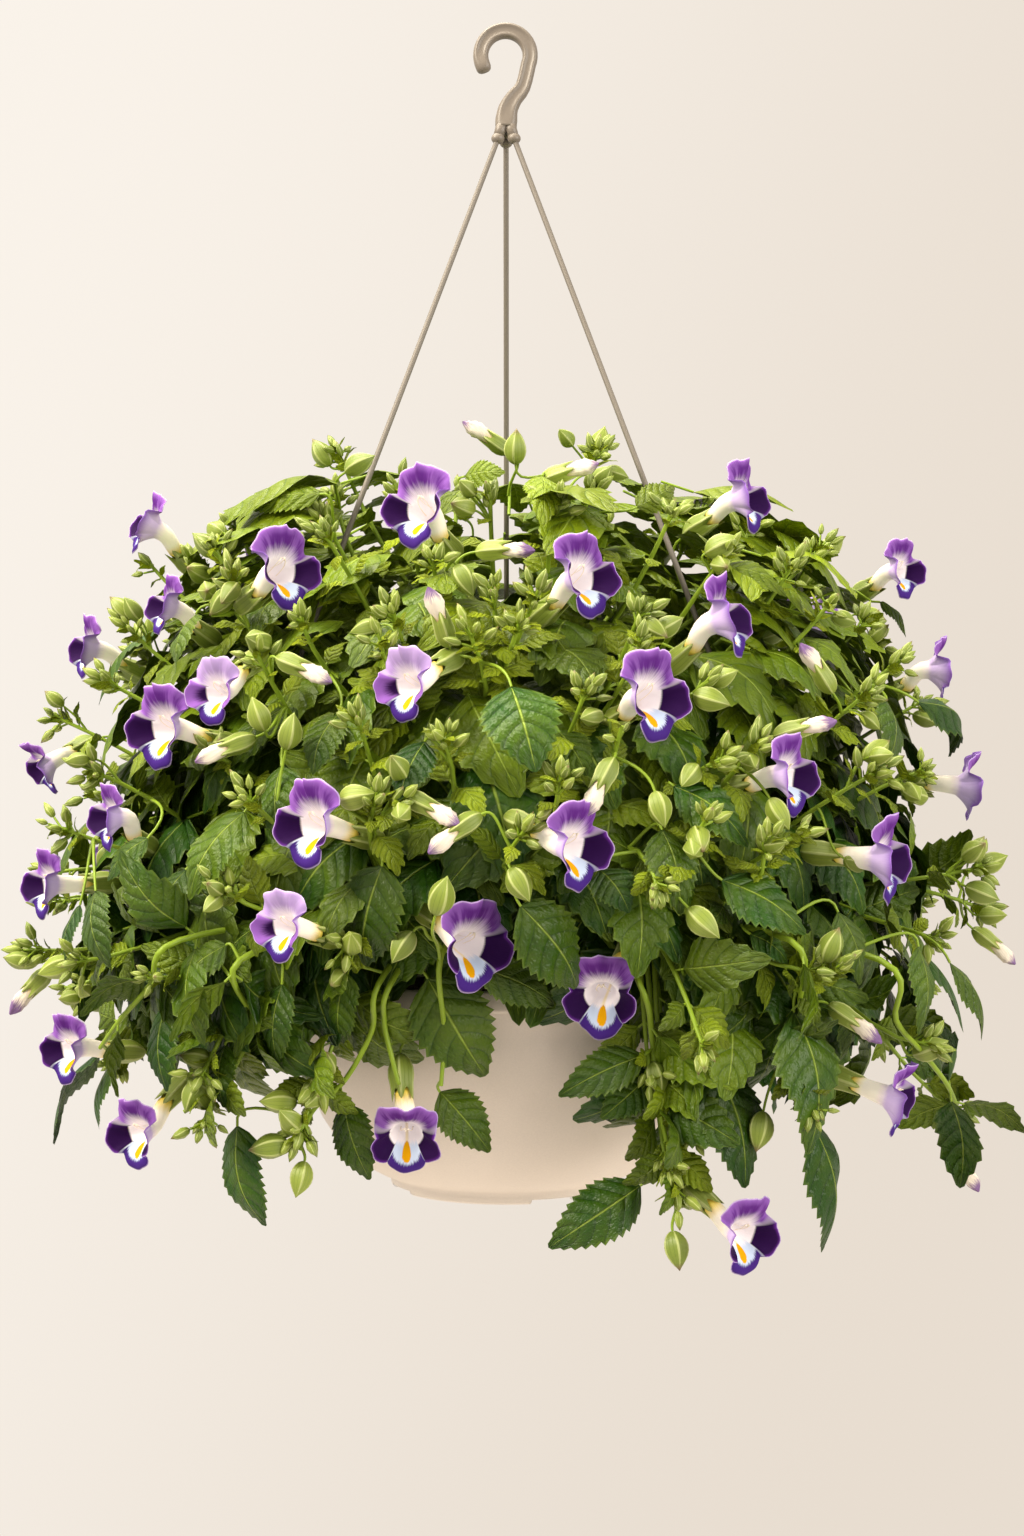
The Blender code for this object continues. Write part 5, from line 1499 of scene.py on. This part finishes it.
def layerLeaves(share, drops, spacing, tries, sizes, tones):
    # a shingled layer of leaves at a share of the mound's radius
    kept = []
    for azimuth, z, radius in scattered(tries, drops, share):
        base = around(azimuth, radius, z)
        if any((base - other).length < spacing for other in kept):
            continue
        steep = smoothStep(-0.27, -0.42, z)
        outward = direction(azimuth)
        swing = outward.cross(up) * luck.uniform(-0.75, 0.75)
        along = outward * (0.85 - 0.45 * steep) - up * (0.15 + 0.7 * steep * luck.uniform(0.7, 1.2)) + swing
        length = luck.uniform(*sizes)
        tip = base + along.normalized() * length
        normal = direction(azimuth + luck.uniform(-24, 24), 68 - 40 * steep + luck.uniform(-14, 14))
        leaf = Leaf(base, tip, normal, length * luck.uniform(0.62, 0.74))
        if not inOutline(tip) or not leafIsFree(leaf):
            continue
        kept.append(base)
        # higher leaves get a higher, yellower tone: partly fresh growth, partly painted light through the
        # backlit top leaves
        fresh = 0.3 * smoothStep(-0.42, -0.25, z)
        addLeaf(innerRows, leaf, luck.uniform(*tones) + fresh)
        if share == growth["layers"][0][0]:
            inner = base - outward * (18 * mm) + up * (6 * mm)
            paths.append(([inner, base], [growth["petiole"]] * 2))


# Leaves that hang over the pot's lip: circles and drops of their bases and of their tips, and widths
lipLeaves = {
    "count": 46,
    "baseCircle": (0.098, 0.108),
    "baseDrop": (0.468, 0.482),
    "tipCircle": (0.146, 0.16),
    "tipDrop": (0.512, 0.532),
    "width": (0.03, 0.038),
}


def rimLeaves():
    for index in range(lipLeaves["count"]):
        azimuth = 360 * index / lipLeaves["count"] + luck.uniform(-3, 3)
        base = around(azimuth, luck.uniform(*lipLeaves["baseCircle"]), -luck.uniform(*lipLeaves["baseDrop"]))
        tip = around(azimuth + luck.uniform(-8, 8), luck.uniform(*lipLeaves["tipCircle"]),
                     -luck.uniform(*lipLeaves["tipDrop"]))
        normal = direction(azimuth + luck.uniform(-20, 20), 40)
        leaf = Leaf(base, tip, normal, luck.uniform(*lipLeaves["width"]))
        if not any(hidesBloom(spot) for spot in leaf.samples()):
            innerRows.append(leaf.row(luck.randrange(3), luck.uniform(0, 0.2), luck.random()))


def shootRoute(tip, axis):
    azimuth = azimuthOf(tip)
    reach = math.hypot(tip.x, tip.y)
    if tip.z < -0.50:
        start = around(azimuth, min(0.125, reach), -0.478)
        over = around(azimuth, min(0.165, reach + 0.02), -0.462)
        return bezier(start, over, tip - axis * (45 * mm), tip, 10)
    length = min(0.115, 0.6 * reach + 0.03)
    start = around(azimuth + luck.uniform(-14, 14), 0.5 * reach, max(tip.z - 0.085, -0.49))
    rise = start + direction(azimuth, 50) * (0.35 * length)
    return bezier(start, rise, tip - axis * (0.45 * length), tip, 10)


def pointAlong(route, back):
    # the place on a route this far behind its tip, and the direction there
    for index in range(len(route) - 1, 0, -1):
        along = route[index] - route[index - 1]
        if back <= along.length:
            return route[index].lerp(route[index - 1], back / along.length), along.normalized()
        back -= along.length
    return route[0], (route[1] - route[0]).normalized()


def addShoot(tip, axis):
    # False for a shoot that would hide a bloom or a wire or run into the pot
    route = shootRoute(tip, axis)
    if any(hidesBloom(spot, -8 * mm) or crowdsPot(spot) or hidesWire(spot, 6) for spot in route[3:]):
        return False
    addStem(route)
    # near the top, shoots have smaller leaves with higher tones; the tone is partly fresh growth, partly
    # painted light through the backlit top
    topness = smoothStep(-0.5, -0.26, tip.z)
    addPairs(route, growth["pairs"], topness)
    addBuds(tip, (route[-1] - route[-2]).normalized(), topness)
    return True


def addPairs(route, pairs, topness):
    # opposite leaves, each pair a quarter turn round from the last
    roll = luck.uniform(0, math.pi)
    for order, (back, length, fresher) in enumerate(pairs):
        spot, along = pointAlong(route, back * mm)
        side, rise = crossAxes(along)
        turn = roll + order * math.pi / 2
        for sign in (-1, 1):
            away = onCircle(side, rise, turn) * sign
            lean = along * luck.uniform(0.3, 0.6) + away - up * luck.uniform(0.1, 0.45)
            lean.normalize()
            size = length * (1 - 0.24 * topness) * luck.uniform(0.8, 1.2) * mm
            base = spot + lean * (size * 0.14)
            normal = along * 0.7 + up * 0.6 + direction(azimuthOf(spot)) * 0.35
            leaf = Leaf(base, base + lean * size, normal, size * luck.uniform(0.55, 0.68))
            if leafIsFree(leaf):
                # the tone rises with topness: partly fresh growth, partly painted backlight
                tone = 0.14 + 0.32 * topness + fresher + luck.uniform(-0.12, 0.12)
                addLeaf(smallRows, leaf, tone)
                paths.append(([spot, base], [growth["petiole"] * 0.8] * 2))


def addBuds(tip, along, topness):
    # a cluster of buds and narrow young leaves at the end of a shoot
    side, rise = crossAxes(along)
    for index in range(luck.randrange(6, 10)):
        away = onCircle(side, rise, 2.4 * index + luck.uniform(-0.4, 0.4))
        spread = math.radians(luck.uniform(12, 75) if index else 5)
        facing = (along * math.cos(spread) + away * math.sin(spread)).normalized()
        start = tip - along * (luck.uniform(0, 9) * mm)
        base = start + facing * (luck.uniform(3, 8) * mm)
        size = luck.uniform(*growth["buds"]) * mm
        if hidesBloom(base) or hidesWire(base, 6) or crowdsPot(base):
            continue
        paths.append(([start, base], [0.65 * mm, 0.6 * mm]))
        budRows.append(upright(base, facing, away, size, 0, luck.uniform(0.2, 0.9), luck.random()))
    for index in range(6):
        away = onCircle(side, rise, 1.7 + 2.1 * index)
        facing = (along * luck.uniform(0.2, 1.2) + away).normalized()
        base = tip - along * (luck.uniform(0, 11) * mm)
        length = luck.uniform(*growth["bracts"]) * mm
        leaf = Leaf(base, base + facing * length, along, length * 0.44)
        if not hidesBloom(leaf.tip) and not hidesWire(leaf.tip, 6):
            # bracts are fresher still, and higher with topness: partly painted backlight
            addLeaf(bractRows, leaf, 0.6 + 0.3 * topness)


def clearTubes():
    # moves stems that would run through a bloom's tube or calyx beside it
    for route, _ in paths:
        for point in route[1:-1]:
            for bloom in flowers:
                gap, away = tubeGap(bloom, point)
                if gap < 0:
                    point -= away * gap


def tieIn(tree, base, leaving, share=1.0):
    # a stalk from a base, which it enters along `leaving`, to the best place on the stems
    outward = direction(azimuthOf(base))
    best = None
    for place, _, _ in tree.find_n(base - leaving * (14 * mm) - outward * (6 * mm), 24):
        gap = place - base
        cost = gap.length + 1.4 * max(gap.dot(leaving), 0) + 1.2 * max(gap.dot(outward), 0)
        cost += 3 * max(8 * mm - gap.length, 0)
        if best is None or cost < best[0]:
            best = (cost, place)
    anchor = best[1]
    if best[0] > 60 * mm:
        radius = 0.55 * math.hypot(base.x, base.y)
        anchor = around(azimuthOf(base), radius, max(base.z - 20 * mm, -0.48))
    reach = (anchor - base).length
    rise = anchor.lerp(base, 0.4) + up * (reach * 0.12)
    route = bezier(anchor, rise, base - leaving * (reach * 0.4), base, 10)
    paths.append((route, [growth["petiole"] * share * (1.25 - 0.04 * step) for step in range(10)]))


def addPod(centre, axis, length=growth["podLength"], kind=0):
    start = centre - axis * (length / 2)
    size = length * luck.uniform(0.95, 1.08)
    side = crossAxes(axis)[0]
    podRows.append(upright(start, axis, side, size, kind, luck.uniform(0.3, 0.9), luck.random()))
    return start


def addFolded(centre, axis):
    # a folded corolla stands out of its calyx
    start = centre - axis * (15 * mm)
    side = crossAxes(axis)[0]
    podRows.append(upright(start, axis, side, 17 * mm, 1, luck.uniform(0.3, 0.9), 0.2))
    foldedRows.append(upright(start + axis * (10 * mm), axis, side, 21 * mm, luck.randrange(2), 0.5,
                              luck.random()))
    return start


def growShoots():
    for column, row, tilt in shoots:
        tip = frontPoint(column, row, 2 * mm)
        addShoot(tip, screenAxis(tilt, direction(azimuthOf(tip)), 0.45))
    for pixels in runners:
        bends = [frontPoint(column, row, 6 * mm) for column, row in pixels]
        route = smoothRoute([around(azimuthOf(bends[0]), 0.11, -0.475)] + bends, 6)
        addStem(route)
        if not growth["bareColumns"][0] < pixels[-1][0] < growth["bareColumns"][1]:
            addPairs(route, growth["runnerPairs"], 0.0)
    tips = [frontPoint(column, row, 2 * mm) for column, row, _ in shoots]
    for azimuth, z, radius in scattered(growth["shootTries"], growth["shootDrops"]):
        sink = luck.uniform(4, 16) * mm * smoothStep(-0.36, -0.27, z)
        tip = around(azimuth, radius * luck.uniform(0.88, 1.0), z - sink)
        apart = growth["shootSpacing"] * (0.8 if z > -0.30 else 1.15 if tip.y < 0 else 1.0)
        if any((tip - other).length < apart for other in tips) or not inOutline(tip):
            continue
        if hidesBloom(tip, 6 * mm) or hidesWire(tip, 12):
            continue
        pitch = interpolate(growth["shootPitch"], -z / mm)
        axis = direction(azimuth + luck.uniform(-25, 25), pitch + luck.uniform(-12, 12))
        if addShoot(tip, axis):
            tips.append(tip)
    print("shoots:", len(tips))
    return tips


def growPods(tree, tips):
    for rows, add in ((pods, addPod), (closedBlooms, addFolded)):
        for column, row, tilt in rows:
            centre = frontPoint(column, row, 3 * mm)
            axis = screenAxis(tilt, direction(azimuthOf(centre)))
            tieIn(tree, add(centre, axis), axis)
    for tip in tips:
        if luck.random() > 0.5:
            continue
        outward = direction(azimuthOf(tip))
        for _ in range(luck.randrange(1, 3)):
            away = direction(azimuthOf(tip) + luck.uniform(-80, 80), luck.uniform(-50, 50))
            centre = tip - outward * (12 * mm) + away * (luck.uniform(14, 22) * mm)
            if hidesBloom(centre, 6 * mm) or hidesWire(centre, 14) or crowdsPot(centre):
                continue
            axis = (away + up * luck.uniform(-0.4, 0.5)).normalized()
            length = luck.uniform(*growth["smallPods"]) * mm
            tieIn(tree, addPod(centre, axis, length, 2), axis, 0.85)


def growPlants():
    tips = growShoots()
    for layer in growth["layers"]:
        layerLeaves(*layer)
    rimLeaves()
    print("inner leaves:", len(innerRows))

    clearTubes()
    tree = treeOf(joints)
    for leaf in solidLeaves():
        # the large leaves' tone rises towards the top: partly fresh growth, partly painted light through the
        # backlit top
        tone = 0.05 + 0.28 * smoothStep(-0.36, -0.25, leaf.base.z) + luck.uniform(-0.06, 0.1)
        addLeaf(largeRows, leaf, tone)
        tieIn(tree, leaf.base, leaf.along)
    for bloom in flowers:
        length = 19 * mm + 2 * mm * bloom.size
        start = bloom.mouth - bloom.axis * (0.9 * length)
        side = crossAxes(bloom.axis)[0]
        podRows.append(upright(start, bloom.axis, side, length, 1, luck.uniform(0.4, 0.9), 0.2))
        tieIn(tree, start, bloom.axis)
    growPods(tree, tips)
    clearTubes()


def smoothRoute(points, steps=3):
    # steps between each two points of a route, on one smooth curve
    route = []
    for index in range(len(points) - 1):
        first, second = points[index], points[index + 1]
        before = points[max(index - 1, 0)]
        after = points[min(index + 2, len(points) - 1)]
        pull = first + (second - before) / 6
        ease = second - (after - first) / 6
        route += bezier(first, pull, ease, second, steps + 1)[:-1]
    return route + [points[-1]]


def makePlants():
    growPlants()
    large = shapesOnPoints("largeLeaves", largeRows, leafShapes("fine"), looks["leaf"], spread=0.0)
    declare(large, "foliage", *leafyNodes())
    half = len(innerRows) // 2
    filler = leafShapes("filler")
    podShapes = [podShape("pod", "pod", 30, 0.11), calyxShape(), podShape("small pod", "pod", 20, 0.09)]
    foldedShapes = [foldedShape("folded a", 1.2), foldedShape("folded b", -0.8)]
    pieces = (
        ("innerLeavesA", innerRows[:half], filler, "leaf", "foliage"),
        ("innerLeavesB", innerRows[half:], filler, "leaf", "foliage"),
        ("shootLeaves", smallRows, filler, "leaf", "foliage"),
        ("tipBracts", bractRows, leafShapes("bract"), "leaf", "foliage"),
        ("podsAndCalyces", podRows, podShapes, "pod", "foliage"),
        ("tipBuds", budRows, [podShape("bud", "bud", 6, 0.0)], "pod", "foliage"),
        ("foldedCorollas", foldedRows, foldedShapes, "folded", "petals"),
    )
    for name, rows, shapes, look, slot in pieces:
        declare(shapesOnPoints(name, rows, shapes, looks[look]), slot)
    declare(stemsOnPaths("stems", paths, looks["stem"]), "foliage")
    print("leaves, pods and stems are made")
    for index, bloom in enumerate(flowers):
        piece = corolla(f"corolla_{index + 1:02d}", bloom, random.Random(100 + index))
        declare(piece, "petals", f"bloom_{index + 1:02d}")
    print("blooms are made:", len(flowers))


# Pot, soil, wires and hook

def makePot():
    lip = potSize["rimZ"] - potSize["footZ"]
    under = lip - potSize["lipHeight"]
    rim, wall, inner = potSize["rimRadius"], potSize["wall"], potSize["footInnerRadius"]
    floor = potSize["floorRecess"] + wall
    profile = [(0, floor), (inner, floor)]
    profile += [(radius * mm - wall, height * mm) for height, radius in potSize["side"]
                if height * mm > floor + 0.004]
    profile += [(rim - wall, lip - 0.004), (rim - wall, lip - 0.001), (rim - wall + 0.0006, lip)]
    # The rolled lip
    profile += [(rim - 0.0012, lip), (rim - 0.0003, lip - 0.0004), (rim, lip - 0.0012), (rim, under + 0.001),
                (rim - 0.0006, under), (rim - 0.0022, under - 0.0004)]
    profile += [(radius * mm, height * mm) for height, radius in reversed(potSize["side"])]
    # The foot ring's inner edge and the recess in it
    profile += [(inner + 0.0012, 0), (inner, 0.0012), (inner, potSize["floorRecess"]),
                (0, potSize["floorRecess"])]
    profile = [(radius, potSize["footZ"] + height) for radius, height in profile]
    pot = turnedProfile("pottedBowl", profile, looks["pot"], potSize["steps"])
    cutPot(pot)
    declare(pot, "pot", "pot")


# Drain holes in the floor and notches in the foot ring
drainSize = {
    "holes": 6,
    "holeCircle": 0.036,
    "holeRadius": 0.0035,
    "notches": 4,
    "notchCircle": 0.060,
    "notchAzimuth": 24,
    "notch": (0.025, 0.016, 0.005),
}


def cutPot(pot):
    bm = bmesh.new()
    for index in range(drainSize["holes"]):
        azimuth = 360 * index / drainSize["holes"]
        made = bmesh.ops.create_cone(bm, cap_ends=True, segments=20, radius1=drainSize["holeRadius"],
                                     radius2=drainSize["holeRadius"], depth=0.02)
        place = around(azimuth, drainSize["holeCircle"], potSize["footZ"] + potSize["floorRecess"])
        bmesh.ops.translate(bm, verts=made["verts"], vec=place)
    for index in range(drainSize["notches"]):
        azimuth = drainSize["notchAzimuth"] + 360 * index / drainSize["notches"]
        made = bmesh.ops.create_cube(bm, size=1)
        turn = Matrix.Rotation(math.radians(azimuth), 3, "Z")
        bmesh.ops.scale(bm, verts=made["verts"], vec=drainSize["notch"])
        bmesh.ops.rotate(bm, verts=made["verts"], matrix=turn)
        place = around(azimuth, drainSize["notchCircle"], potSize["footZ"])
        bmesh.ops.translate(bm, verts=made["verts"], vec=place)
    cutter = addObject("pot cutters", fill(bpy.data.meshes.new("pot cutters"), bm))
    cut = pot.modifiers.new("holes", "BOOLEAN")
    cut.operation = "DIFFERENCE"
    cut.solver = "EXACT"
    cut.object = cutter
    settle(pot)
    bpy.data.objects.remove(cutter)


earSize = {
    "drop": 0.002,
    "height": 0.005,
    "radius": 0.0065,
    "hole": 0.0021,
    "bevel": 0.0006,
    "sides": 24,
}


def makeEars():
    # three ears under the lip that carry the wires
    top = potSize["rimZ"] - earSize["drop"]
    low = top - earSize["height"]
    outer, hole, bevel, sides = earSize["radius"], earSize["hole"], earSize["bevel"], earSize["sides"]
    profile = [(hole, top), (outer - bevel, top), (outer, top - bevel), (outer, low + bevel),
               (outer - bevel, low), (hole, low), (hole, top)]
    points, faces = [], []
    for azimuth in wireSize["azimuths"].values():
        centre = around(azimuth, wireSize["circle"], 0)
        faces += shifted(gridFaces(len(profile), sides, True), len(points))
        for radius, z in profile:
            for step in range(sides):
                turn = math.tau * step / sides
                points.append((centre.x + radius * math.cos(turn), centre.y + radius * math.sin(turn), z))
    mesh = weld(meshOf("rimEars", points, faces, smooth=False))
    mesh.materials.append(looks["pot"])
    declare(addObject("rimEars", mesh), "pot")


soilSize = {
    "belowLip": 0.015,
    "gap": 0.0005,
    # Depths under the soil's top at which it follows the pot's side, and the loose edge
    "depths": (0.02, 0.013, 0.007, 0.002),
    "edge": 0.002,
    "rings": (0.95, 0.88, 0.8, 0.7, 0.6, 0.5, 0.4, 0.3, 0.2, 0.1, 0),
    "crumbs": (-1.6, 1.2),
    "seed": 4,
}


def makeSoil():
    top = potSize["rimZ"] - soilSize["belowLip"]
    gap = potSize["wall"] + soilSize["gap"]
    depths = soilSize["depths"]
    walls = [interpolate(potSize["side"], (top - depth - potSize["footZ"]) / mm) * mm - gap
             for depth in depths]
    edge = walls[-1]
    profile = [(0, top - depths[0]), (edge * 0.5, top - depths[0])]
    profile += [(wall, top - depth) for wall, depth in zip(walls, depths)] + [(edge - soilSize["edge"], top)]
    profile += [(edge * share, top) for share in soilSize["rings"]]
    soil = turnedProfile("pottingSoil", profile, looks["soil"], 96)
    chance = random.Random(soilSize["seed"])
    for vertex in soil.data.vertices:
        reach = math.hypot(vertex.co.x, vertex.co.y)
        if vertex.co.z > top - 0.001 and reach < edge * 0.97:
            vertex.co.z += chance.uniform(*soilSize["crumbs"]) * mm
    declare(soil, "soil", "soil")


def wireRoute(azimuth):
    # from the knuckle straight down, bent through the ear's hole and out under the ear
    drop = (wireSize["circle"] - wireSize["topCircle"]) / wireSize["slope"]
    line = [around(azimuth, wireSize["topCircle"] + wireSize["slope"] * at, wireSize["topZ"] - at)
            for at in (0, drop * 0.33, drop * 0.66, drop - wireSize["bend"], drop)]
    after = line[-1] - up * wireSize["bend"]
    low = potSize["rimZ"] - earSize["drop"] - earSize["height"] - wireSize["room"] - wireSize["radius"]
    corner = around(azimuth, wireSize["circle"], low)
    foot = around(azimuth, wireSize["circle"] + wireSize["tail"], low - 0.0006)
    bend = bezier(line[3], line[4].lerp(line[3], 0.4), line[4].lerp(after, 0.4), after, 9)
    end = bezier(corner + up * 0.0024, corner + up * 0.0004, corner + direction(azimuth) * 0.001, foot, 7)
    return line[:3] + bend + end


def makeWires():
    for name, azimuth in wireSize["azimuths"].items():
        route = wireRoute(azimuth)
        title = "wire" + name.removeprefix("wire_").capitalize()
        wire = stemsOnPaths(title, [(route, [wireSize["radius"]] * len(route))], looks["wire"], sides=12)
        declare(wire, "wire", name)


# Sizes in mm
hookSize = {
    "radius": 13.6,
    "centre": (-0.3, -10.0),
    "bar": 4.2,
    "fromDegrees": 200,
    "toDegrees": -22,
    "crookSteps": 26,
    # The rounded tip beyond the crook: x and z from the crook's start, and bar size
    "tip": [(1.75, -4.75, 0.02), (1.72, -4.65, 0.3), (1.6, -4.3, 0.62), (1.35, -3.6, 0.86),
            (0.9, -2.4, 0.98)],
    # Neck: x, z and bar size
    "neck": [(9.3, -27.2, 1.0), (4.4, -33.6, 1.12), (1.2, -39.5, 1.3), (0.2, -45.5, 1.45), (0, -49.5, 1.4)],
    "groove": 1.5,
    "grooveWidth": 2.1,
    "sides": 36,
    # Where a leg leaves the neck: circle and height, and its radii at the foot and the neck
    "legTop": (1.8, -46),
    "legRadii": (2.9, 3.3),
    "knuckle": 3.7,
    "knuckleFlat": 0.82,
}


def hookRoute():
    # places along the bar's middle and how thick the bar is there
    steps = hookSize["crookSteps"]
    low, high = hookSize["fromDegrees"], hookSize["toDegrees"]
    route = []
    for step in range(steps):
        turn = math.radians(low + (high - low) * step / (steps - 1))
        x = hookSize["centre"][0] + hookSize["radius"] * math.cos(turn)
        z = hookSize["centre"][1] + hookSize["radius"] * math.sin(turn)
        route.append((Vector((x, 0, z)), 1.0))
    start = [(route[0][0] + Vector((x, 0, z)), size) for x, z, size in hookSize["tip"]]
    places = [Vector((x, 0, z)) for x, z, _ in hookSize["neck"]]
    sizes = [(index, size) for index, size in enumerate([1.0] + [size for _, _, size in hookSize["neck"]])]
    fine = smoothRoute([route[-1][0]] + places)
    neck = [(place, interpolate(sizes, index / 3)) for index, place in enumerate(fine)]
    return start + route + neck[1:]


def squared(share, power):
    # a circle's sine or cosine, swollen towards a square's
    return math.copysign(abs(share) ** power, share)


def makeHook():
    route = hookRoute()
    sides = hookSize["sides"]
    points = []
    for index, (place, size) in enumerate(route):
        before, after = route[max(index - 1, 0)][0], route[min(index + 1, len(route) - 1)][0]
        side = (after - before).normalized().cross(backwards).normalized()
        fade = smoothStep(4, 9, index) * smoothStep(0, 8, len(route) - 1 - index)
        for step in range(sides):
            turn = math.tau * step / sides
            across = hookSize["bar"] * size * squared(math.cos(turn), 0.8)
            deep = hookSize["bar"] * min(size, 1.15) * squared(math.sin(turn), 0.75)
            dip = hookSize["groove"] * fade * math.exp(-((across / (hookSize["grooveWidth"] * size)) ** 4))
            deep -= math.copysign(min(dip, abs(deep)), deep)
            points.append((place + side * across + backwards * deep) * mm)
    ends = [tuple(range(sides)), tuple(range(len(points) - sides, len(points)))[::-1]]
    mesh = weld(meshOf("hangerHook", points, gridFaces(len(route), sides, True) + ends))
    addLegs(mesh)
    mesh.materials.append(looks["hook"])
    declare(addObject("hangerHook", mesh), "hook", "hanger_hook")


def addLegs(mesh):
    # the three legs with their rounded knuckles, which hold the wires
    bm = bmesh.new()
    bm.from_mesh(mesh)
    circle, z = hookSize["legTop"]
    foot, neck = hookSize["legRadii"]
    for azimuth in wireSize["azimuths"].values():
        knuckle = around(azimuth, wireSize["topCircle"], wireSize["topZ"])
        high = around(azimuth, circle * mm, z * mm)
        tilt = (high - knuckle).normalized().to_track_quat("Z", "Y").to_matrix().to_4x4()
        leg = Matrix.Translation((knuckle + high) / 2) @ tilt
        bmesh.ops.create_cone(bm, cap_ends=True, segments=20, radius1=foot * mm, radius2=neck * mm,
                              depth=(high - knuckle).length, matrix=leg)
        ball = Matrix.Translation(knuckle) @ Matrix.Diagonal((1.0, 1.0, hookSize["knuckleFlat"], 1.0))
        bmesh.ops.create_uvsphere(bm, u_segments=20, v_segments=12, radius=hookSize["knuckle"] * mm,
                                  matrix=ball)
    for face in bm.faces:
        face.smooth = True
    fill(mesh, bm)


# Floor, light and camera

studio = {
    "backdrop": "FAF3EA",
    "backdropShade": "E8DDD0",
    "floor": "968D82",
    "floorZ": -1.32,
    "floorRadius": 1.22,
    # Each lamp: place, width, power and colour
    "lamps": {
        "key": ((-1.9, -1.3, 1.2), 1.1, 118.0, "FFF3E0"),
        "fill": ((1.9, -1.3, 0.1), 1.6, 54.0, "FFF8EE"),
        "rim": ((-0.5, 0.1, 1.9), 1.8, 122.0, "FFF6E2"),
        "lift": ((0.0, 0.0, -1.28), 1.6, 4.5, "FFF6EE"),
    },
    "lampAim": (0, 0, -0.42),
    "worldStrength": 0.75,
    "lens": 51.56,
    "sensorWidth": 36,
}


def makeFloor():
    bm = bmesh.new()
    bmesh.ops.create_circle(bm, cap_ends=True, segments=96, radius=studio["floorRadius"])
    bmesh.ops.translate(bm, verts=bm.verts, vec=(0, 0, studio["floorZ"]))
    mesh = fill(bpy.data.meshes.new("paleFloor"), bm)
    mesh.materials.append(newLook("paleFloor", 0.9, Base_Color=studio["floor"])[0])
    addObject("paleFloor", mesh)


def makeLamps():
    for name, (place, size, power, colour) in studio["lamps"].items():
        lamp = bpy.data.lights.new(name, "AREA")
        lamp.size = size
        lamp.energy = power
        lamp.color = srgb(colour)[:3]
        item = addObject(name, lamp)
        item.location = place
        item.visible_camera = False
        aim = Vector(studio["lampAim"]) - item.location
        item.rotation_euler = aim.to_track_quat("-Z", "Y").to_euler()


def makeWorld():
    # the backdrop at full strength for the camera, and weaker as light
    world = bpy.data.worlds.new("studio")
    world.use_nodes = True
    bpy.context.scene.world = world
    nodes = world.node_tree.nodes
    sheet = NodeSheet(world.node_tree)
    x, _, z = sheet.split(sheet.place("Generated"))
    slope = sheet.smooth(sheet.linear(z, 0.45, sheet.times(x, -1.2)), -0.35, 0.45)
    tint = sheet.mix(slope, studio["backdropShade"], studio["backdrop"])
    sheet.give(nodes["Background"], Color=tint, Strength=studio["worldStrength"])
    seen = sheet.add("ShaderNodeBackground", {"Color": tint, "Strength": 1.0})
    choose = sheet.add("ShaderNodeMixShader", {
        0: sheet.add("ShaderNodeLightPath").outputs["Is Camera Ray"],
        1: nodes["Background"].outputs[0], 2: seen.outputs[0],
    })
    sheet.give(nodes["World Output"], Surface=choose.outputs[0])


def makeCamera():
    data = bpy.data.cameras.new("camera")
    data.lens = studio["lens"]
    data.sensor_width = studio["sensorWidth"]
    camera = addObject("camera", data)
    camera.location = (viewX, -view["distance"], viewZ)
    camera.rotation_euler = (math.radians(90), 0, 0)
    bpy.context.scene.camera = camera
    bpy.context.scene.view_settings.view_transform = "Standard"


makePot()
makeEars()
makeSoil()
makeWires()
makeHook()
print("pot, soil, wires and hook are made")
makePlants()
makeFloor()
makeLamps()
makeWorld()
makeCamera()
